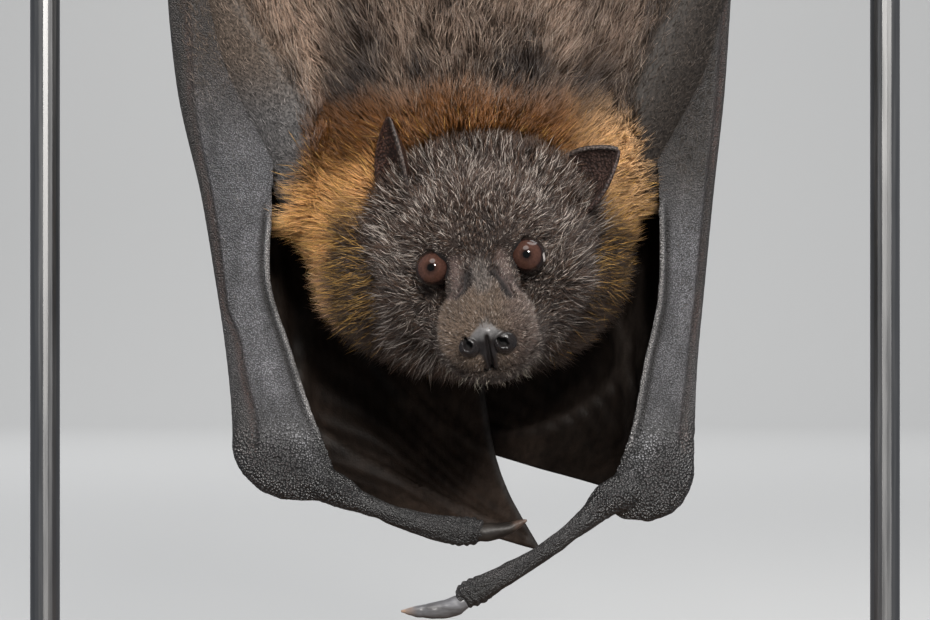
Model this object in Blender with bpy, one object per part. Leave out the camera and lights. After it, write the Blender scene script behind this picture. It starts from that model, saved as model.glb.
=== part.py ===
"""A grey-headed flying fox hanging by its feet from a cut branch on a display stand, life size.

The bat hangs head down with its back towards -Y and turns its head back, so that its face is
upright and looks along -Y. +X is the bat's left and +Z is up. Places and sizes are written in
millimetres, and mesh_of() turns them into metres. The solids reach out to the tips of the coat.
"""

import math

import bmesh
import bpy
import numpy as np
from mathutils import Matrix, Vector

MM = 0.001
GAP = 0.3  # between pieces that touch
SIDES = {"right": -1, "left": 1}

# Head: the middle between the eyes, and how the head is turned.
HEAD_AT = np.array([4.5, -45.0, 164.0])
HEAD_PITCH = math.radians(30)  # nose down
HEAD_ROLL = math.radians(8)  # the left side higher
HEAD_YAW = math.radians(-3)
EYE_APART = 13.4  # each eye from the middle
EYE_DEPTH = 0.6  # eyeball centre behind the face
EYE_RADIUS = 5.6

# The head's shapes in its own axes (left, back, up) from the middle between the eyes.
MUZZLE = [
    (0, -34.0, -9.0, 4, 3.5),
    (0, -32.5, -9.0, 9.0, 6.6),
    (0, -27, -8.8, 12.6, 9.0),
    (0, -19, -7.6, 12.8, 10.0),
    (0, -10, -5.2, 10.6, 10.8),
    (0, 0, -2, 10, 12),
    (0, 10, 0, 14, 14),
]
JAW = [
    (0, -30.5, -17.0, 4, 2.5),
    (0, -28, -18.2, 9.2, 4.6),
    (0, -17, -19.0, 14, 7.0),
    (0, 0, -19.5, 22, 10),
    (0, 14, -17, 27, 15),
]
FOREHEAD = ((0, 17, 2), (25, 21, 23))
FACE = ((0, 20, -8), (33, 20, 25))
CROWN = ((0, 31, -5), (36, 22, 32))
THROAT = ((-3, 18, -25), (31, 18, 22))
BROW = ((7, 3, 8), (8, 10, 8))
CHEEK = ((15, 11, -13), (17, 13, 13))

# Perch and stand.
PERCH_Z = 436.0
PERCH_Y = 8.0
PERCH_RADIUS = 12.0
PERCH_HALF = 146.0
POST_X = 127.0
POST_RADIUS = 4.5
BASE_SIZE = (304.0, 196.0, 18.0)
BASE_CHAMFER = 2.5
POST_SEAT = 8.0  # how deep a post stands in the base

# Body: (x, y, z, half width, half depth) down the middle of each length.
TRUNK = [
    (2, 15, 158, 22, 15),
    (2, 12, 172, 38, 27),
    (1, 8, 195, 46, 37),
    (0, 6, 222, 49, 42),
    (0, 5, 250, 50, 43),
    (0, 6, 282, 47, 41),
    (0, 7, 310, 39, 34),
    (0, 8, 332, 26, 24),
    (0, 8, 346, 9, 9),
]
MANTLE = [((0.5, 3.0, 180.0), (55.0, 31.0, 37.0)), ((2.0, -3.0, 164.0), (49.0, 26.0, 34.0))]
UPPER_ARM = [
    (34, 4, 174, 18, 18),
    (46, 3, 203, 18, 18),
    (58, 3, 230, 18, 16),
    (69, 5, 252, 13, 13),
    (78, 6, 268, 9, 10),
    (84, 7, 279, 5, 6),
]
LEG = [
    (15, 4, 318, 16, 16),
    (24, -6, 342, 14, 14),
    (33, -14, 362, 10, 10),
    (33, -14, 374, 8, 8),
    (28, -10, 396, 6, 6),
    (23, -8, 416, 4.4, 4.4),
    (21, -8, 424, 3, 3),
]

# Planes that part the body: a point and a normal.
LEG_CUT = ((0, 0, 336), (0, 0, 1))
MIDDLE_CUT = ((0, 0, 340), (1, 0, 0))
NECK_CUT = ((0, 0, 207), (0, 0.25, 1))
SHOULDER_CUT = ((47, 0, 200), (1.0, 0, -0.13))

# Forearm with the skin in front of it: outer edge, inner edge, half thickness.
FOREARM = {
    "right": [
        (-82, 8, 283, -78, 7, 282, 2),
        (-90, 8, 276, -70, 3, 276, 6),
        (-90, 6, 250, -62, -1, 250, 8),
        (-86.5, 5, 216, -57, -5, 216, 7),
        (-79.5, 4, 186, -57, -7, 186, 6),
        (-75, 3, 160, -58, -6, 160, 5),
        (-72, 1, 140, -52, -7, 140, 5),
        (-70, -2, 122, -46, -9, 122, 5.4),
        (-69.3, -5, 108.5, -40.4, -11, 108.6, 6.8),
        (-66.3, -7, 102, -38, -13, 102, 7.2),
        (-61, -8, 97, -37, -13, 97, 6.4),
        (-55, -9, 94.3, -40, -13, 94, 3.2),
    ],
    "left": [
        (76, 8, 283, 72, 7, 282, 2),
        (83, 8, 276, 64, 3, 276, 6),
        (80.5, 6, 250, 57, -1, 250, 8),
        (78, 5, 216, 56, -5, 216, 7),
        (74.5, 4, 186, 57.5, -7, 186, 6),
        (71.5, 2, 156, 57.5, -7, 156, 5),
        (69.5, -1, 134, 53, -8, 134, 5),
        (68.5, -5, 114, 49, -10, 114, 5.6),
        (68, -8, 101, 44, -12, 102, 7.2),
        (65.6, -9, 95, 42, -14, 96, 7.2),
        (61.5, -10, 90.5, 43, -14, 91.5, 6.2),
        (55.5, -11, 88, 46, -13, 88.6, 3),
    ],
}

# Thumb: (x, y, z, half width, half depth) from the wrist to the base of the claw, then the claw.
THUMB = {
    "right": [
        (-46, -10, 100.5, 5.6, 5.0),
        (-37, -13, 96.8, 4.8, 4.4),
        (-31.5, -15, 94.0, 3.4, 3.5),
        (-25, -16, 91.6, 2.9, 3.1),
        (-19, -16.5, 89.3, 3.1, 3.1),
        (-13, -17, 87.6, 3.5, 3.4),
        (-7, -17, 86.2, 4.0, 3.7),
        (-2, -17, 85.5, 4.4, 3.9),
        (2.5, -17, 85.5, 4.0, 3.6),
        (5.5, -17, 85.6, 2.6, 2.6),
    ],
    "left": [
        (50, -12, 98, 6.0, 5.0),
        (42, -15.5, 94.5, 4.9, 4.6),
        (36.5, -18, 89.5, 3.4, 3.5),
        (31, -19.5, 85.3, 2.7, 2.9),
        (23.5, -20.5, 79.8, 2.6, 2.8),
        (15, -21, 74.5, 3.0, 3.0),
        (8, -21, 70.6, 3.5, 3.4),
        (3.5, -21, 68.2, 4.0, 3.7),
        (0, -21, 66.6, 3.7, 3.4),
        (-2.2, -21, 65.8, 2.6, 2.6),
    ],
}
THUMB_CLAW = {
    "right": [
        (6, -17, 85.2, 2.6, 2.6),
        (10, -17, 85.5, 2.3, 2.5),
        (13.3, -17.3, 86.4, 1.7, 2.0),
        (16, -17.7, 87.7, 1.0, 1.2),
        (18.2, -18, 88.7, 0.4, 0.5),
    ],
    "left": [
        (-2.8, -21, 63.8, 2.7, 2.7),
        (-7.5, -21, 62.5, 2.6, 2.5),
        (-12, -21, 62.2, 2.0, 2.1),
        (-15.6, -21, 62.1, 1.3, 1.4),
        (-18.8, -21, 62.1, 0.4, 0.5),
    ],
}

# Hand wing, wrapped over the belly: outer edge, free edge, and how far it bulges between them.
HAND_WING = {
    "right": [
        (-50, -1, 98, 23, 6, 78, 9),
        (-62, 5, 110, 12, 20, 98, 12),
        (-66, 9, 130, 7, 33, 119, 15),
        (-71, 11, 165, 5, 45, 155, 17),
        (-80, 14, 215, 14, 55, 215, 17),
        (-84, 16, 270, 9, 53, 283, 16),
        (-56, 13, 335, -9, 43, 345, 11),
        (-27, 6, 396, -15, 20, 402, 4),
    ],
    "left": [
        (52, -1, 94, -7, 45, 110, 5),
        (63, 6, 112, -13, 52, 126, 10),
        (66, 9, 140, -17, 58, 152, 14),
        (69, 12, 180, -21, 65, 190, 17),
        (73, 14, 225, -21, 68, 232, 18),
        (77, 16, 270, -14, 66, 283, 16),
        (54, 13, 335, 8, 46, 345, 11),
        (27, 6, 396, 15, 20, 402, 4),
    ],
}
HAND_WING_THICK = 1.5

# Fingers folded on the outside of the hand wing: (across, along) places on it, and how far each
# passes over the fingers under it.
FINGERS = {
    2: [(0.025, 0.10, 0), (0.03, 0.25, 0), (0.04, 0.40, 0)],
    3: [
        (0.07, 0.09, 0),
        (0.08, 0.40, 0),
        (0.11, 0.54, 0),
        (0.17, 0.53, 1.5),
        (0.20, 0.42, 5),
        (0.26, 0.24, 5),
        (0.45, 0.13, 3),
        (0.70, 0.06, 0.5),
        (0.96, 0.02, 0),
    ],
    4: [
        (0.12, 0.10, 0),
        (0.26, 0.48, 0),
        (0.31, 0.61, 0),
        (0.37, 0.61, 1.5),
        (0.41, 0.52, 5),
        (0.52, 0.34, 4),
        (0.94, 0.21, 0),
    ],
    5: [(0.17, 0.11, 0), (0.40, 0.50, 0), (0.53, 0.70, 0), (0.66, 0.66, 0), (0.93, 0.46, 0)],
}
FINGER_GAP = 0.5
FINGER_LIFT = 1.3  # between a finger and the sheet it lies on
FINGER_RADIUS = {2: (1.7, 1.1), 3: (2.1, 1.1), 4: (2.0, 1.0), 5: (2.0, 1.0)}

# Ears: root, tip, the way the hollow faces, and the half width.
EAR = {
    "right": dict(root=(-18.5, -23, 181), tip=(-22.2, -31, 206.5), hollow=(-0.8, -0.6, 0), half=8.5),
    "left": dict(root=(30, -20, 184), tip=(44.6, -29, 197.2), hollow=(-0.1, -0.9, 0.35), half=9.5),
}
EAR_THICK = 1.4

# Feet: the toes of one foot lie side by side over the perch.
TOES = 5
TOE_SPREAD = 4.6
TOE_RADIUS = 1.7
FOOT_X = 22.0
# The sole: (y, height above the perch's middle, half width, half depth).
SOLE = [(-9.0, -17, 4.0, 3.4), (-9.5, -12, 6.0, 3.2), (-8.8, -4, 9.5, 2.6), (-7.8, 1, 9.5, 1.8)]
TOE_TURNS = (185, 155, 125, 100)  # degrees round the perch
# A toe's claw: (degrees round the perch, radius, distance from the perch's middle).
TOE_CLAW = [(97, 1.25, 14.6), (78, 1.2, 14.9), (52, 0.9, 14.7), (28, 0.35, 13.4)]

COLOURS = {
    "coat_head": ((0.075, 0.060, 0.052), 0.85),
    "coat_mantle": ((0.22, 0.10, 0.030), 0.85),
    "coat_back": ((0.10, 0.075, 0.060), 0.85),
    "coat_leg": ((0.06, 0.045, 0.038), 0.85),
    "wing_arm": ((0.115, 0.112, 0.120), 0.5),
    "wing_membrane": ((0.022, 0.016, 0.013), 0.45),
    "bare_skin": ((0.045, 0.040, 0.038), 0.45),
    "ear_skin": ((0.035, 0.022, 0.022), 0.6),
    "eye": ((0.09, 0.035, 0.02), 0.08),
    "claw": ((0.10, 0.095, 0.095), 0.3),
    "bark": ((0.13, 0.09, 0.06), 0.9),
    "stand_wood": ((0.05, 0.030, 0.018), 0.4),
    "stand_steel": ((0.35, 0.34, 0.33), 0.35),
}


def clear_scene():
    for obj in list(bpy.data.objects):
        bpy.data.objects.remove(obj, do_unlink=True)


def material_of(name):
    found = bpy.data.materials.get(name)
    if found:
        return found
    colour, roughness = COLOURS[name]
    made = bpy.data.materials.new(name)
    made.use_nodes = True
    shader = made.node_tree.nodes["Principled BSDF"]
    shader.inputs["Base Color"].default_value = (*colour, 1.0)
    shader.inputs["Roughness"].default_value = roughness
    shader.inputs["Metallic"].default_value = 1.0 if name == "stand_steel" else 0.0
    return made


# Shapes -----------------------------------------------------------------------------------------


def row_at(rows, place):
    """The row at `place`, from 0 at the first row to 1 at the last, on a Catmull-Rom curve."""
    rows = np.array(rows, float)
    last = len(rows) - 1
    held = np.vstack([2 * rows[0] - rows[1], rows, 2 * rows[-1] - rows[-2]])
    first = min(int(place * last), last - 1)
    t = place * last - first
    a, b, c, d = held[first : first + 4]
    bend = (2 * a - 5 * b + 4 * c - d) * t**2 + (3 * b - a - 3 * c + d) * t**3
    return 0.5 * (2 * b + (c - a) * t + bend)


def smooth_rows(rows, count):
    return np.array([row_at(rows, place) for place in np.linspace(0, 1, count)])


def mesh_of(name, points, faces):
    """A mesh from points in millimetres, with its faces turned outwards."""
    mesh = bpy.data.meshes.new(name)
    mesh.from_pydata((np.asarray(points) * MM).tolist(), [], faces)
    work = bmesh.new()
    work.from_mesh(mesh)
    bmesh.ops.recalc_face_normals(work, faces=work.faces)
    work.to_mesh(mesh)
    work.free()
    return mesh


def put(name, mesh, material):
    obj = bpy.data.objects.new(name, mesh)
    bpy.context.scene.collection.objects.link(obj)
    mesh.materials.clear()
    mesh.materials.append(material_of(material))
    mesh.shade_smooth()
    return obj


def loft(name, rings, material):
    """A closed solid through rings of one size, with a fan at each end."""
    size = len(rings[0])
    points = np.vstack([*rings, rings[0].mean(axis=0), rings[-1].mean(axis=0)])
    faces = []
    for ring in range(len(rings) - 1):
        for k in range(size):
            here, there = ring * size + k, ring * size + (k + 1) % size
            faces.append((here, there, there + size, here + size))
    low, high = len(points) - 2, len(points) - 1
    top = (len(rings) - 1) * size
    for k in range(size):
        faces.append((low, (k + 1) % size, k))
        faces.append((high, top + k, top + (k + 1) % size))
    return put(name, mesh_of(name, points, faces), material)


def tube(name, rows, count, sides, material, facing=(0, -1, 0)):
    """A round or oval length along rows of (x, y, z, half width, half depth)."""
    rows = smooth_rows(rows, count)
    facing = np.array(facing, float)
    angle = np.linspace(0, 2 * math.pi, sides, endpoint=False)[:, None]
    rings = []
    for row, along in zip(rows, np.gradient(rows[:, :3], axis=0)):
        along = along / np.linalg.norm(along)
        front = facing - along * (facing @ along)
        front /= np.linalg.norm(front)
        across = np.cross(along, front)
        rings.append(row[:3] + row[3] * np.cos(angle) * across + row[4] * np.sin(angle) * front)
    return loft(name, rings, material)


def blade_half_thickness(s, thickness):
    """Half thickness of the forearm at `s` across it: round outside, thin at the inner edge."""
    flesh = 2.1 * np.sqrt(np.clip(s, 0, 1)) * np.clip(1 - s, 0, 1) ** 1.35
    rim = 0.9 * np.sqrt(np.clip(4 * s * (1 - s), 0, 1))
    return thickness * flesh * 0.62 + rim


def forearm(name, rows, count, sides, material):
    """A flattened length between an outer and an inner edge."""
    half = sides // 2
    across = (1 - np.cos(np.linspace(0, math.pi, half + 1))) / 2
    rings = []
    for row in smooth_rows(rows, count):
        outer, inner = row[:3], row[3:6]
        chord = inner - outer
        front = np.array([0, -1.0, 0])
        front -= chord * (front @ chord) / (chord @ chord)
        front /= np.linalg.norm(front)
        rise = blade_half_thickness(across, row[6])[:, None]
        middle = outer + chord * across[:, None]
        rings.append(np.vstack([middle + front * rise, (middle - front * rise)[1:-1][::-1]]))
    return loft(name, rings, material)


def sheet(name, surface, across, along, thick, material):
    """A closed sheet on the surface(u, v), with u and v from 0 to 1."""
    grid = [[surface(u, v) for u in np.linspace(0, 1, across)] for v in np.linspace(0, 1, along)]
    grid = np.array(grid)
    normal = np.cross(np.gradient(grid, axis=1), np.gradient(grid, axis=0))
    normal /= np.linalg.norm(normal, axis=2, keepdims=True)
    half = normal * thick / 2
    points = np.vstack([(grid + half).reshape(-1, 3), (grid - half).reshape(-1, 3)])
    under = across * along
    faces = []
    for j in range(along - 1):
        for i in range(across - 1):
            a = j * across + i
            faces.append((a, a + 1, a + 1 + across, a + across))
            faces.append((under + a, under + a + across, under + a + 1 + across, under + a + 1))
    rim = list(range(across))
    rim += [j * across + across - 1 for j in range(1, along)]
    rim += [(along - 1) * across + i for i in range(across - 2, -1, -1)]
    rim += [j * across for j in range(along - 2, 0, -1)]
    for a, b in zip(rim, rim[1:] + rim[:1]):
        faces.append((a, b, under + b, under + a))
    return put(name, mesh_of(name, points, faces), material)


def ball(name, centre, radii, turn, material, rings=10, sides=16):
    """An ellipsoid, turned by a 3 x 3 matrix."""
    angle = np.linspace(0, 2 * math.pi, sides, endpoint=False)
    loops = []
    for lift in np.linspace(-math.pi / 2, math.pi / 2, rings + 2)[1:-1]:
        loop = np.stack([np.cos(angle) * math.cos(lift), np.sin(angle) * math.cos(lift)], axis=1)
        loops.append(np.column_stack([loop, np.full(sides, math.sin(lift))]))
    loops = [centre + (loop * radii) @ turn.T for loop in loops]
    obj = loft(name, loops, material)
    poles = np.array([[0, 0, -1.0], [0, 0, 1.0]]) * radii
    for vertex, pole in zip(list(obj.data.vertices)[-2:], poles):
        vertex.co = (centre + turn @ pole) * MM
    return obj


# Joining and parting ----------------------------------------------------------------------------


def settled(obj):
    """Bakes the object's modifiers into its mesh."""
    graph = bpy.context.evaluated_depsgraph_get()
    graph.update()
    old = obj.data
    obj.data = bpy.data.meshes.new_from_object(obj.evaluated_get(graph))
    obj.modifiers.clear()
    bpy.data.meshes.remove(old)
    obj.data.shade_smooth()
    return obj


def removed(*objects):
    for obj in objects:
        bpy.data.objects.remove(obj, do_unlink=True)


def fused(name, shapes, material, voxel, smoothing, triangles):
    """One skin over overlapping shapes, brought down to about `triangles`."""
    work = bmesh.new()
    for shape in shapes:
        work.from_mesh(shape.data)
    mesh = bpy.data.meshes.new(name)
    work.to_mesh(mesh)
    work.free()
    removed(*shapes)
    obj = put(name, mesh, material)
    remesh = obj.modifiers.new("Remesh", "REMESH")
    remesh.mode = "VOXEL"
    remesh.voxel_size = voxel * MM
    soften = obj.modifiers.new("Smooth", "SMOOTH")
    soften.factor = 0.5
    soften.iterations = smoothing
    settled(obj)
    quads = len(obj.data.polygons)
    thin = obj.modifiers.new("Decimate", "DECIMATE")
    thin.ratio = min(1.0, triangles / (2 * quads))
    settled(obj)
    obj.data.materials.clear()
    obj.data.materials.append(material_of(material))
    return obj


def grown(obj, by=GAP):
    """A copy of the object with its surface moved outwards."""
    mesh = obj.data.copy()
    moves = [vertex.normal * (by * MM) for vertex in mesh.vertices]
    for vertex, move in zip(mesh.vertices, moves):
        vertex.co += move
    cutter = bpy.data.objects.new(obj.name + "_cutter", mesh)
    bpy.context.scene.collection.objects.link(cutter)
    cutter.hide_render = True
    cutter.display_type = "WIRE"
    return cutter


def make_room(obj, *others, by=GAP):
    """Cuts the others out of obj, with the gap that touching pieces keep."""
    for other in others:
        cutter = grown(other, by)
        cut = obj.modifiers.new("Room", "BOOLEAN")
        cut.operation = "DIFFERENCE"
        cut.solver = "EXACT"
        cut.object = cutter
        settled(obj)
        removed(cutter)
    keep_largest(obj)
    return obj


def united(obj, *others):
    for other in others:
        join = obj.modifiers.new("Join", "BOOLEAN")
        join.operation = "UNION"
        join.solver = "EXACT"
        join.object = other
        settled(obj)
        removed(other)
    return obj


def islands(work):
    """The groups of vertices that hang together."""
    seen, groups = set(), []
    for start in work.verts:
        if start in seen:
            continue
        group, ahead = [], [start]
        seen.add(start)
        while ahead:
            vertex = ahead.pop()
            group.append(vertex)
            for edge in vertex.link_edges:
                other = edge.other_vert(vertex)
                if other not in seen:
                    seen.add(other)
                    ahead.append(other)
        groups.append(group)
    return groups


def keep_largest(obj):
    """Drops the crumbs that a cut leaves behind."""
    work = bmesh.new()
    work.from_mesh(obj.data)
    groups = sorted(islands(work), key=len)
    crumbs = [vertex for group in groups[:-1] for vertex in group]
    bmesh.ops.delete(work, geom=crumbs, context="VERTS")
    work.to_mesh(obj.data)
    work.free()


def half_of(obj, name, point, normal, material):
    """The part of obj on the side of the plane that the normal points to, as a closed object."""
    normal = Vector(normal).normalized()
    work = bmesh.new()
    work.from_mesh(obj.data)
    bmesh.ops.bisect_plane(
        work,
        geom=[*work.verts, *work.edges, *work.faces],
        dist=1e-7,
        plane_co=Vector(point) * MM + normal * (GAP / 2 * MM),
        plane_no=normal,
        clear_inner=True,
    )
    rim = [edge for edge in work.edges if edge.is_boundary]
    bmesh.ops.triangle_fill(work, edges=rim, use_beauty=True, normal=-normal)
    bmesh.ops.recalc_face_normals(work, faces=work.faces)
    mesh = bpy.data.meshes.new(name)
    work.to_mesh(mesh)
    work.free()
    return put(name, mesh, material)


def parted(obj, cut, far_name, far_material, near_name, near_material):
    """Parts obj at a plane (point, normal): the far piece lies where the normal points."""
    point, normal = cut
    far = half_of(obj, far_name, point, normal, far_material)
    near = half_of(obj, near_name + "_near", point, [-n for n in normal], near_material)
    removed(obj)
    near.name = near_name
    return far, near


# Head -------------------------------------------------------------------------------------------


def head_turn():
    """Turns the head's own axes (left, back, up) into the world's."""
    pitch = Matrix.Rotation(HEAD_PITCH, 3, "X")
    roll = Matrix.Rotation(-HEAD_ROLL, 3, "Y")
    yaw = Matrix.Rotation(HEAD_YAW, 3, "Z")
    return np.array(yaw @ roll @ pitch)


HEAD_TURN = head_turn()


def on_head(place):
    return HEAD_AT + HEAD_TURN @ np.array(place, float)


def head_ball(place, radii):
    return ball("blob", on_head(place), np.array(radii, float), HEAD_TURN, "coat_head")


def head_tube(rows, count=14, sides=20):
    placed = [(*on_head(row[:3]), *row[3:]) for row in rows]
    return tube("blob", placed, count, sides, "coat_head", facing=HEAD_TURN @ np.array([0, 0, 1.0]))


def make_head():
    shapes = [head_tube(MUZZLE), head_tube(JAW)]
    shapes += [head_ball(place, radii) for place, radii in (FOREHEAD, FACE, CROWN, THROAT)]
    for (x, y, z), radii in (BROW, CHEEK):
        shapes += [head_ball((sign * x, y, z), radii) for sign in SIDES.values()]
    return fused("head", shapes, "coat_head", voxel=1.6, smoothing=9, triangles=900)


def make_eye(side):
    centre = on_head((SIDES[side] * EYE_APART, EYE_DEPTH, 0))
    radii = np.full(3, EYE_RADIUS)
    return ball("eye_" + side, centre, radii, HEAD_TURN, "eye", rings=5, sides=11)


def make_ear(side):
    ear = EAR[side]
    root, tip = np.array(ear["root"], float), np.array(ear["tip"], float)
    axis = tip - root
    hollow = np.array(ear["hollow"], float)
    hollow -= axis * (hollow @ axis) / (axis @ axis)
    hollow /= np.linalg.norm(hollow)
    across = np.cross(axis, hollow) / np.linalg.norm(axis)

    def surface(u, v):
        wide = ear["half"] * (math.sin(math.pi * (0.32 + 0.68 * v)) ** 0.8 + 0.03)
        turn = (u - 0.5) * 2.3
        curl = wide * (math.cos(turn) - 0.7)
        return root + axis * v + across * wide * math.sin(turn) - hollow * curl

    return sheet("ear_" + side, surface, 6, 6, EAR_THICK, "ear_skin")


# Body, arms and wings ---------------------------------------------------------------------------


def mirrored(rows, side):
    return [(SIDES[side] * row[0], *row[1:]) for row in rows]


def make_body(head):
    """The trunk, neck, upper arms and legs, modelled whole and then parted."""
    shapes = [tube("blob", TRUNK, 20, 24, "coat_back")]
    for centre, radii in MANTLE:
        shapes.append(ball("blob", np.array(centre), np.array(radii), np.eye(3), "coat_back", 14, 28))
    for side in SIDES:
        shapes.append(tube("blob", mirrored(UPPER_ARM, side), 12, 16, "coat_back"))
        shapes.append(tube("blob", mirrored(LEG, side), 14, 12, "coat_back"))
    body = fused("body", shapes, "coat_back", voxel=2.4, smoothing=4, triangles=1000)
    legs, body = parted(body, LEG_CUT, "legs", "coat_leg", "body", "coat_back")
    parted(legs, MIDDLE_CUT, "leg_left", "coat_leg", "leg_right", "coat_leg")
    trunk, neck = parted(body, NECK_CUT, "trunk", "coat_back", "neck", "coat_mantle")
    for side, sign in SIDES.items():
        cut = [(sign * x, y, z) for x, y, z in SHOULDER_CUT]
        _, trunk = parted(trunk, cut, "upper_arm_" + side, "coat_back", "trunk", "coat_back")
    make_room(neck, head)
    make_room(trunk, head)


def hand_wing_surface(side):
    rows = HAND_WING[side]

    def surface(u, v):
        row = row_at(rows, v)
        point = row[:3] + (row[3:6] - row[:3]) * u
        point[1] += row[6] * 4 * u * (1 - u)
        point[0] += SIDES[side] * 0.45 * row[6] * math.sin(math.pi * min(1.0, 2 * u)) * (1 - u)
        return point

    return surface


def surface_normal(surface, u, v, side):
    step = 0.01
    across = surface(min(u + step, 1), v) - surface(max(u - step, 0), v)
    along = surface(u, min(v + step, 1)) - surface(u, max(v - step, 0))
    normal = np.cross(across, along) * SIDES[side]
    return normal / np.linalg.norm(normal)


def make_finger(digit, side, surface):
    """A folded finger that lies along the outside of the hand wing."""
    thick, thin = FINGER_RADIUS[digit]
    path = smooth_rows(FINGERS[digit], 2 * len(FINGERS[digit]))
    rows = []
    for place, (u, v, over) in zip(np.linspace(0, 1, len(path)), path):
        radius = thick + (thin - thick) * place
        if place in (0.0, 1.0):
            radius *= 0.6
        lift = radius + HAND_WING_THICK / 2 + FINGER_LIFT + over
        point = surface(u, v) + surface_normal(surface, u, v, side) * lift
        rows.append((*point, radius, radius))
    return tube(f"finger_{digit}_{side}", rows, len(rows), 5, "wing_membrane", facing=(0.2, 0.3, 1))


def make_wing(side):
    arm = forearm("forearm_" + side, FOREARM[side], 16, 12, "wing_arm")
    thumb = tube("thumb_" + side, THUMB[side], 11, 8, "bare_skin")
    claw = tube("thumb_claw_" + side, THUMB_CLAW[side], 7, 8, "claw")
    surface = hand_wing_surface(side)
    hand = sheet("hand_wing_" + side, surface, 10, 13, HAND_WING_THICK, "wing_membrane")
    fingers = [make_finger(digit, side, surface) for digit in FINGERS]
    body = [bpy.data.objects[name] for name in ("trunk", "neck", "upper_arm_" + side, "leg_" + side)]
    make_room(arm, *body[:3])
    make_room(thumb, arm, claw)
    make_room(hand, arm, *body)
    for number, finger in enumerate(fingers):
        make_room(finger, arm, hand, *fingers[:number], by=FINGER_GAP)
    return arm, hand


# Feet, perch and stand --------------------------------------------------------------------------


def round_perch(angle, reach):
    turn = math.radians(angle)
    return PERCH_Y + reach * math.cos(turn), PERCH_Z + reach * math.sin(turn)


def toe_rows(side, number):
    """A toe that rises on the near side of the perch and bends over its top."""
    foot_x = SIDES[side] * FOOT_X
    offset = (number - (TOES - 1) / 2) * TOE_SPREAD
    reach = PERCH_RADIUS + TOE_RADIUS + 1.2
    rows = [(foot_x, -9.5, PERCH_Z - 15, 2.2, 2.2)]
    rows.append((foot_x + 0.5 * offset, -9.0, PERCH_Z - 8, TOE_RADIUS + 0.3, TOE_RADIUS + 0.3))
    for angle in TOE_TURNS:
        y, z = round_perch(angle, reach)
        rows.append((foot_x + offset, y, z, TOE_RADIUS, TOE_RADIUS))
    return rows


def toe_claw_rows(side, number):
    x = SIDES[side] * FOOT_X + (number - (TOES - 1) / 2) * TOE_SPREAD
    return [(x, *round_perch(angle, reach), radius, radius) for angle, radius, reach in TOE_CLAW]


def make_foot(side, perch):
    rows = [(SIDES[side] * FOOT_X, y, PERCH_Z + z, wide, deep) for y, z, wide, deep in SOLE]
    sole = tube("foot_" + side, rows, 6, 10, "bare_skin")
    toes = []
    for number in range(TOES):
        rows = toe_rows(side, number)
        toes.append(tube("toe", rows, 6, 5, "bare_skin", facing=(1, 0, 0)))
    foot = united(sole, *toes)
    make_room(foot, perch, bpy.data.objects["leg_" + side])
    for number in range(TOES):
        name = f"toe_claw_{side}_{number + 1}"
        claw = tube(name, toe_claw_rows(side, number), 5, 5, "claw", facing=(1, 0, 0))
        make_room(claw, foot)


def make_perch():
    """A cut length of branch with knots and a slight bend."""
    rows = []
    for place in np.linspace(-1, 1, 13):
        swell = 1.0 + 0.05 * math.sin(7 * place) + 0.04 * math.cos(11 * place + 1)
        bend = 1.2 * math.sin(2.4 * place)
        radius = PERCH_RADIUS * swell
        if abs(place) < 0.3:
            radius, bend = PERCH_RADIUS, bend * 0.2
        rows.append((place * PERCH_HALF, PERCH_Y, PERCH_Z + bend, radius, radius))
    return tube("perch", rows, 13, 12, "bark", facing=(0, -1, 0.01))


def post(name, x, more, material):
    """A post between the base and the perch, `more` larger all over."""
    radius = POST_RADIUS + more
    low, high = BASE_SIZE[2] - POST_SEAT - more, PERCH_Z - 3 + more
    rows = [(x, PERCH_Y, low, radius, radius), (x, PERCH_Y, high, radius, radius)]
    return tube(name, rows, 2, 20, material)


def make_stand(perch):
    size = Vector(BASE_SIZE) * MM
    work = bmesh.new()
    bmesh.ops.create_cube(work, size=1, matrix=Matrix.Diagonal((*size, 1)))
    bmesh.ops.translate(work, verts=work.verts, vec=(0, 0, size.z / 2))
    edges = [edge for edge in work.edges if edge.verts[0].co.z + edge.verts[1].co.z > size.z]
    bmesh.ops.bevel(work, geom=edges, offset=BASE_CHAMFER * MM, segments=2, affect="EDGES")
    mesh = bpy.data.meshes.new("stand_base")
    work.to_mesh(mesh)
    work.free()
    base = put("stand_base", mesh, "stand_wood")
    mesh.set_sharp_from_angle(angle=math.radians(35))
    for side, sign in SIDES.items():
        rod = post("stand_post_" + side, sign * POST_X, 0, "stand_steel")
        rod.data.set_sharp_from_angle(angle=math.radians(35))
        room = post("room", sign * POST_X, GAP, "stand_wood")
        for holder in (base, perch):
            make_room(holder, room, by=0.0)
        removed(room)


def main():
    clear_scene()
    head = make_head()
    eyes = [make_eye(side) for side in SIDES]
    ears = [make_ear(side) for side in SIDES]
    make_room(head, *eyes)
    make_body(head)
    for ear in ears:
        make_room(ear, head, bpy.data.objects["neck"])
    for side in SIDES:
        make_wing(side)
    perch = make_perch()
    for side in SIDES:
        make_foot(side, perch)
    make_stand(perch)


main()
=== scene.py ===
"""The looks of a grey-headed flying fox that hangs from a cut branch on its display stand.

Places and sizes are in millimetres, in the CAD's frame, and written as meshes in metres. The bat's
back faces -Y and its head is turned back, so that the face is upright and looks along -Y. +X is
its left. The skin lies inside the CAD's fleshy nodes by the depth of the coat, and the coat is a
mesh of tapering tufts rooted on it. Colours are linear RGB.
"""

import math

import bmesh
import bpy
import numpy as np
from mathutils import Matrix, Vector
from mathutils.kdtree import KDTree

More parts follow.
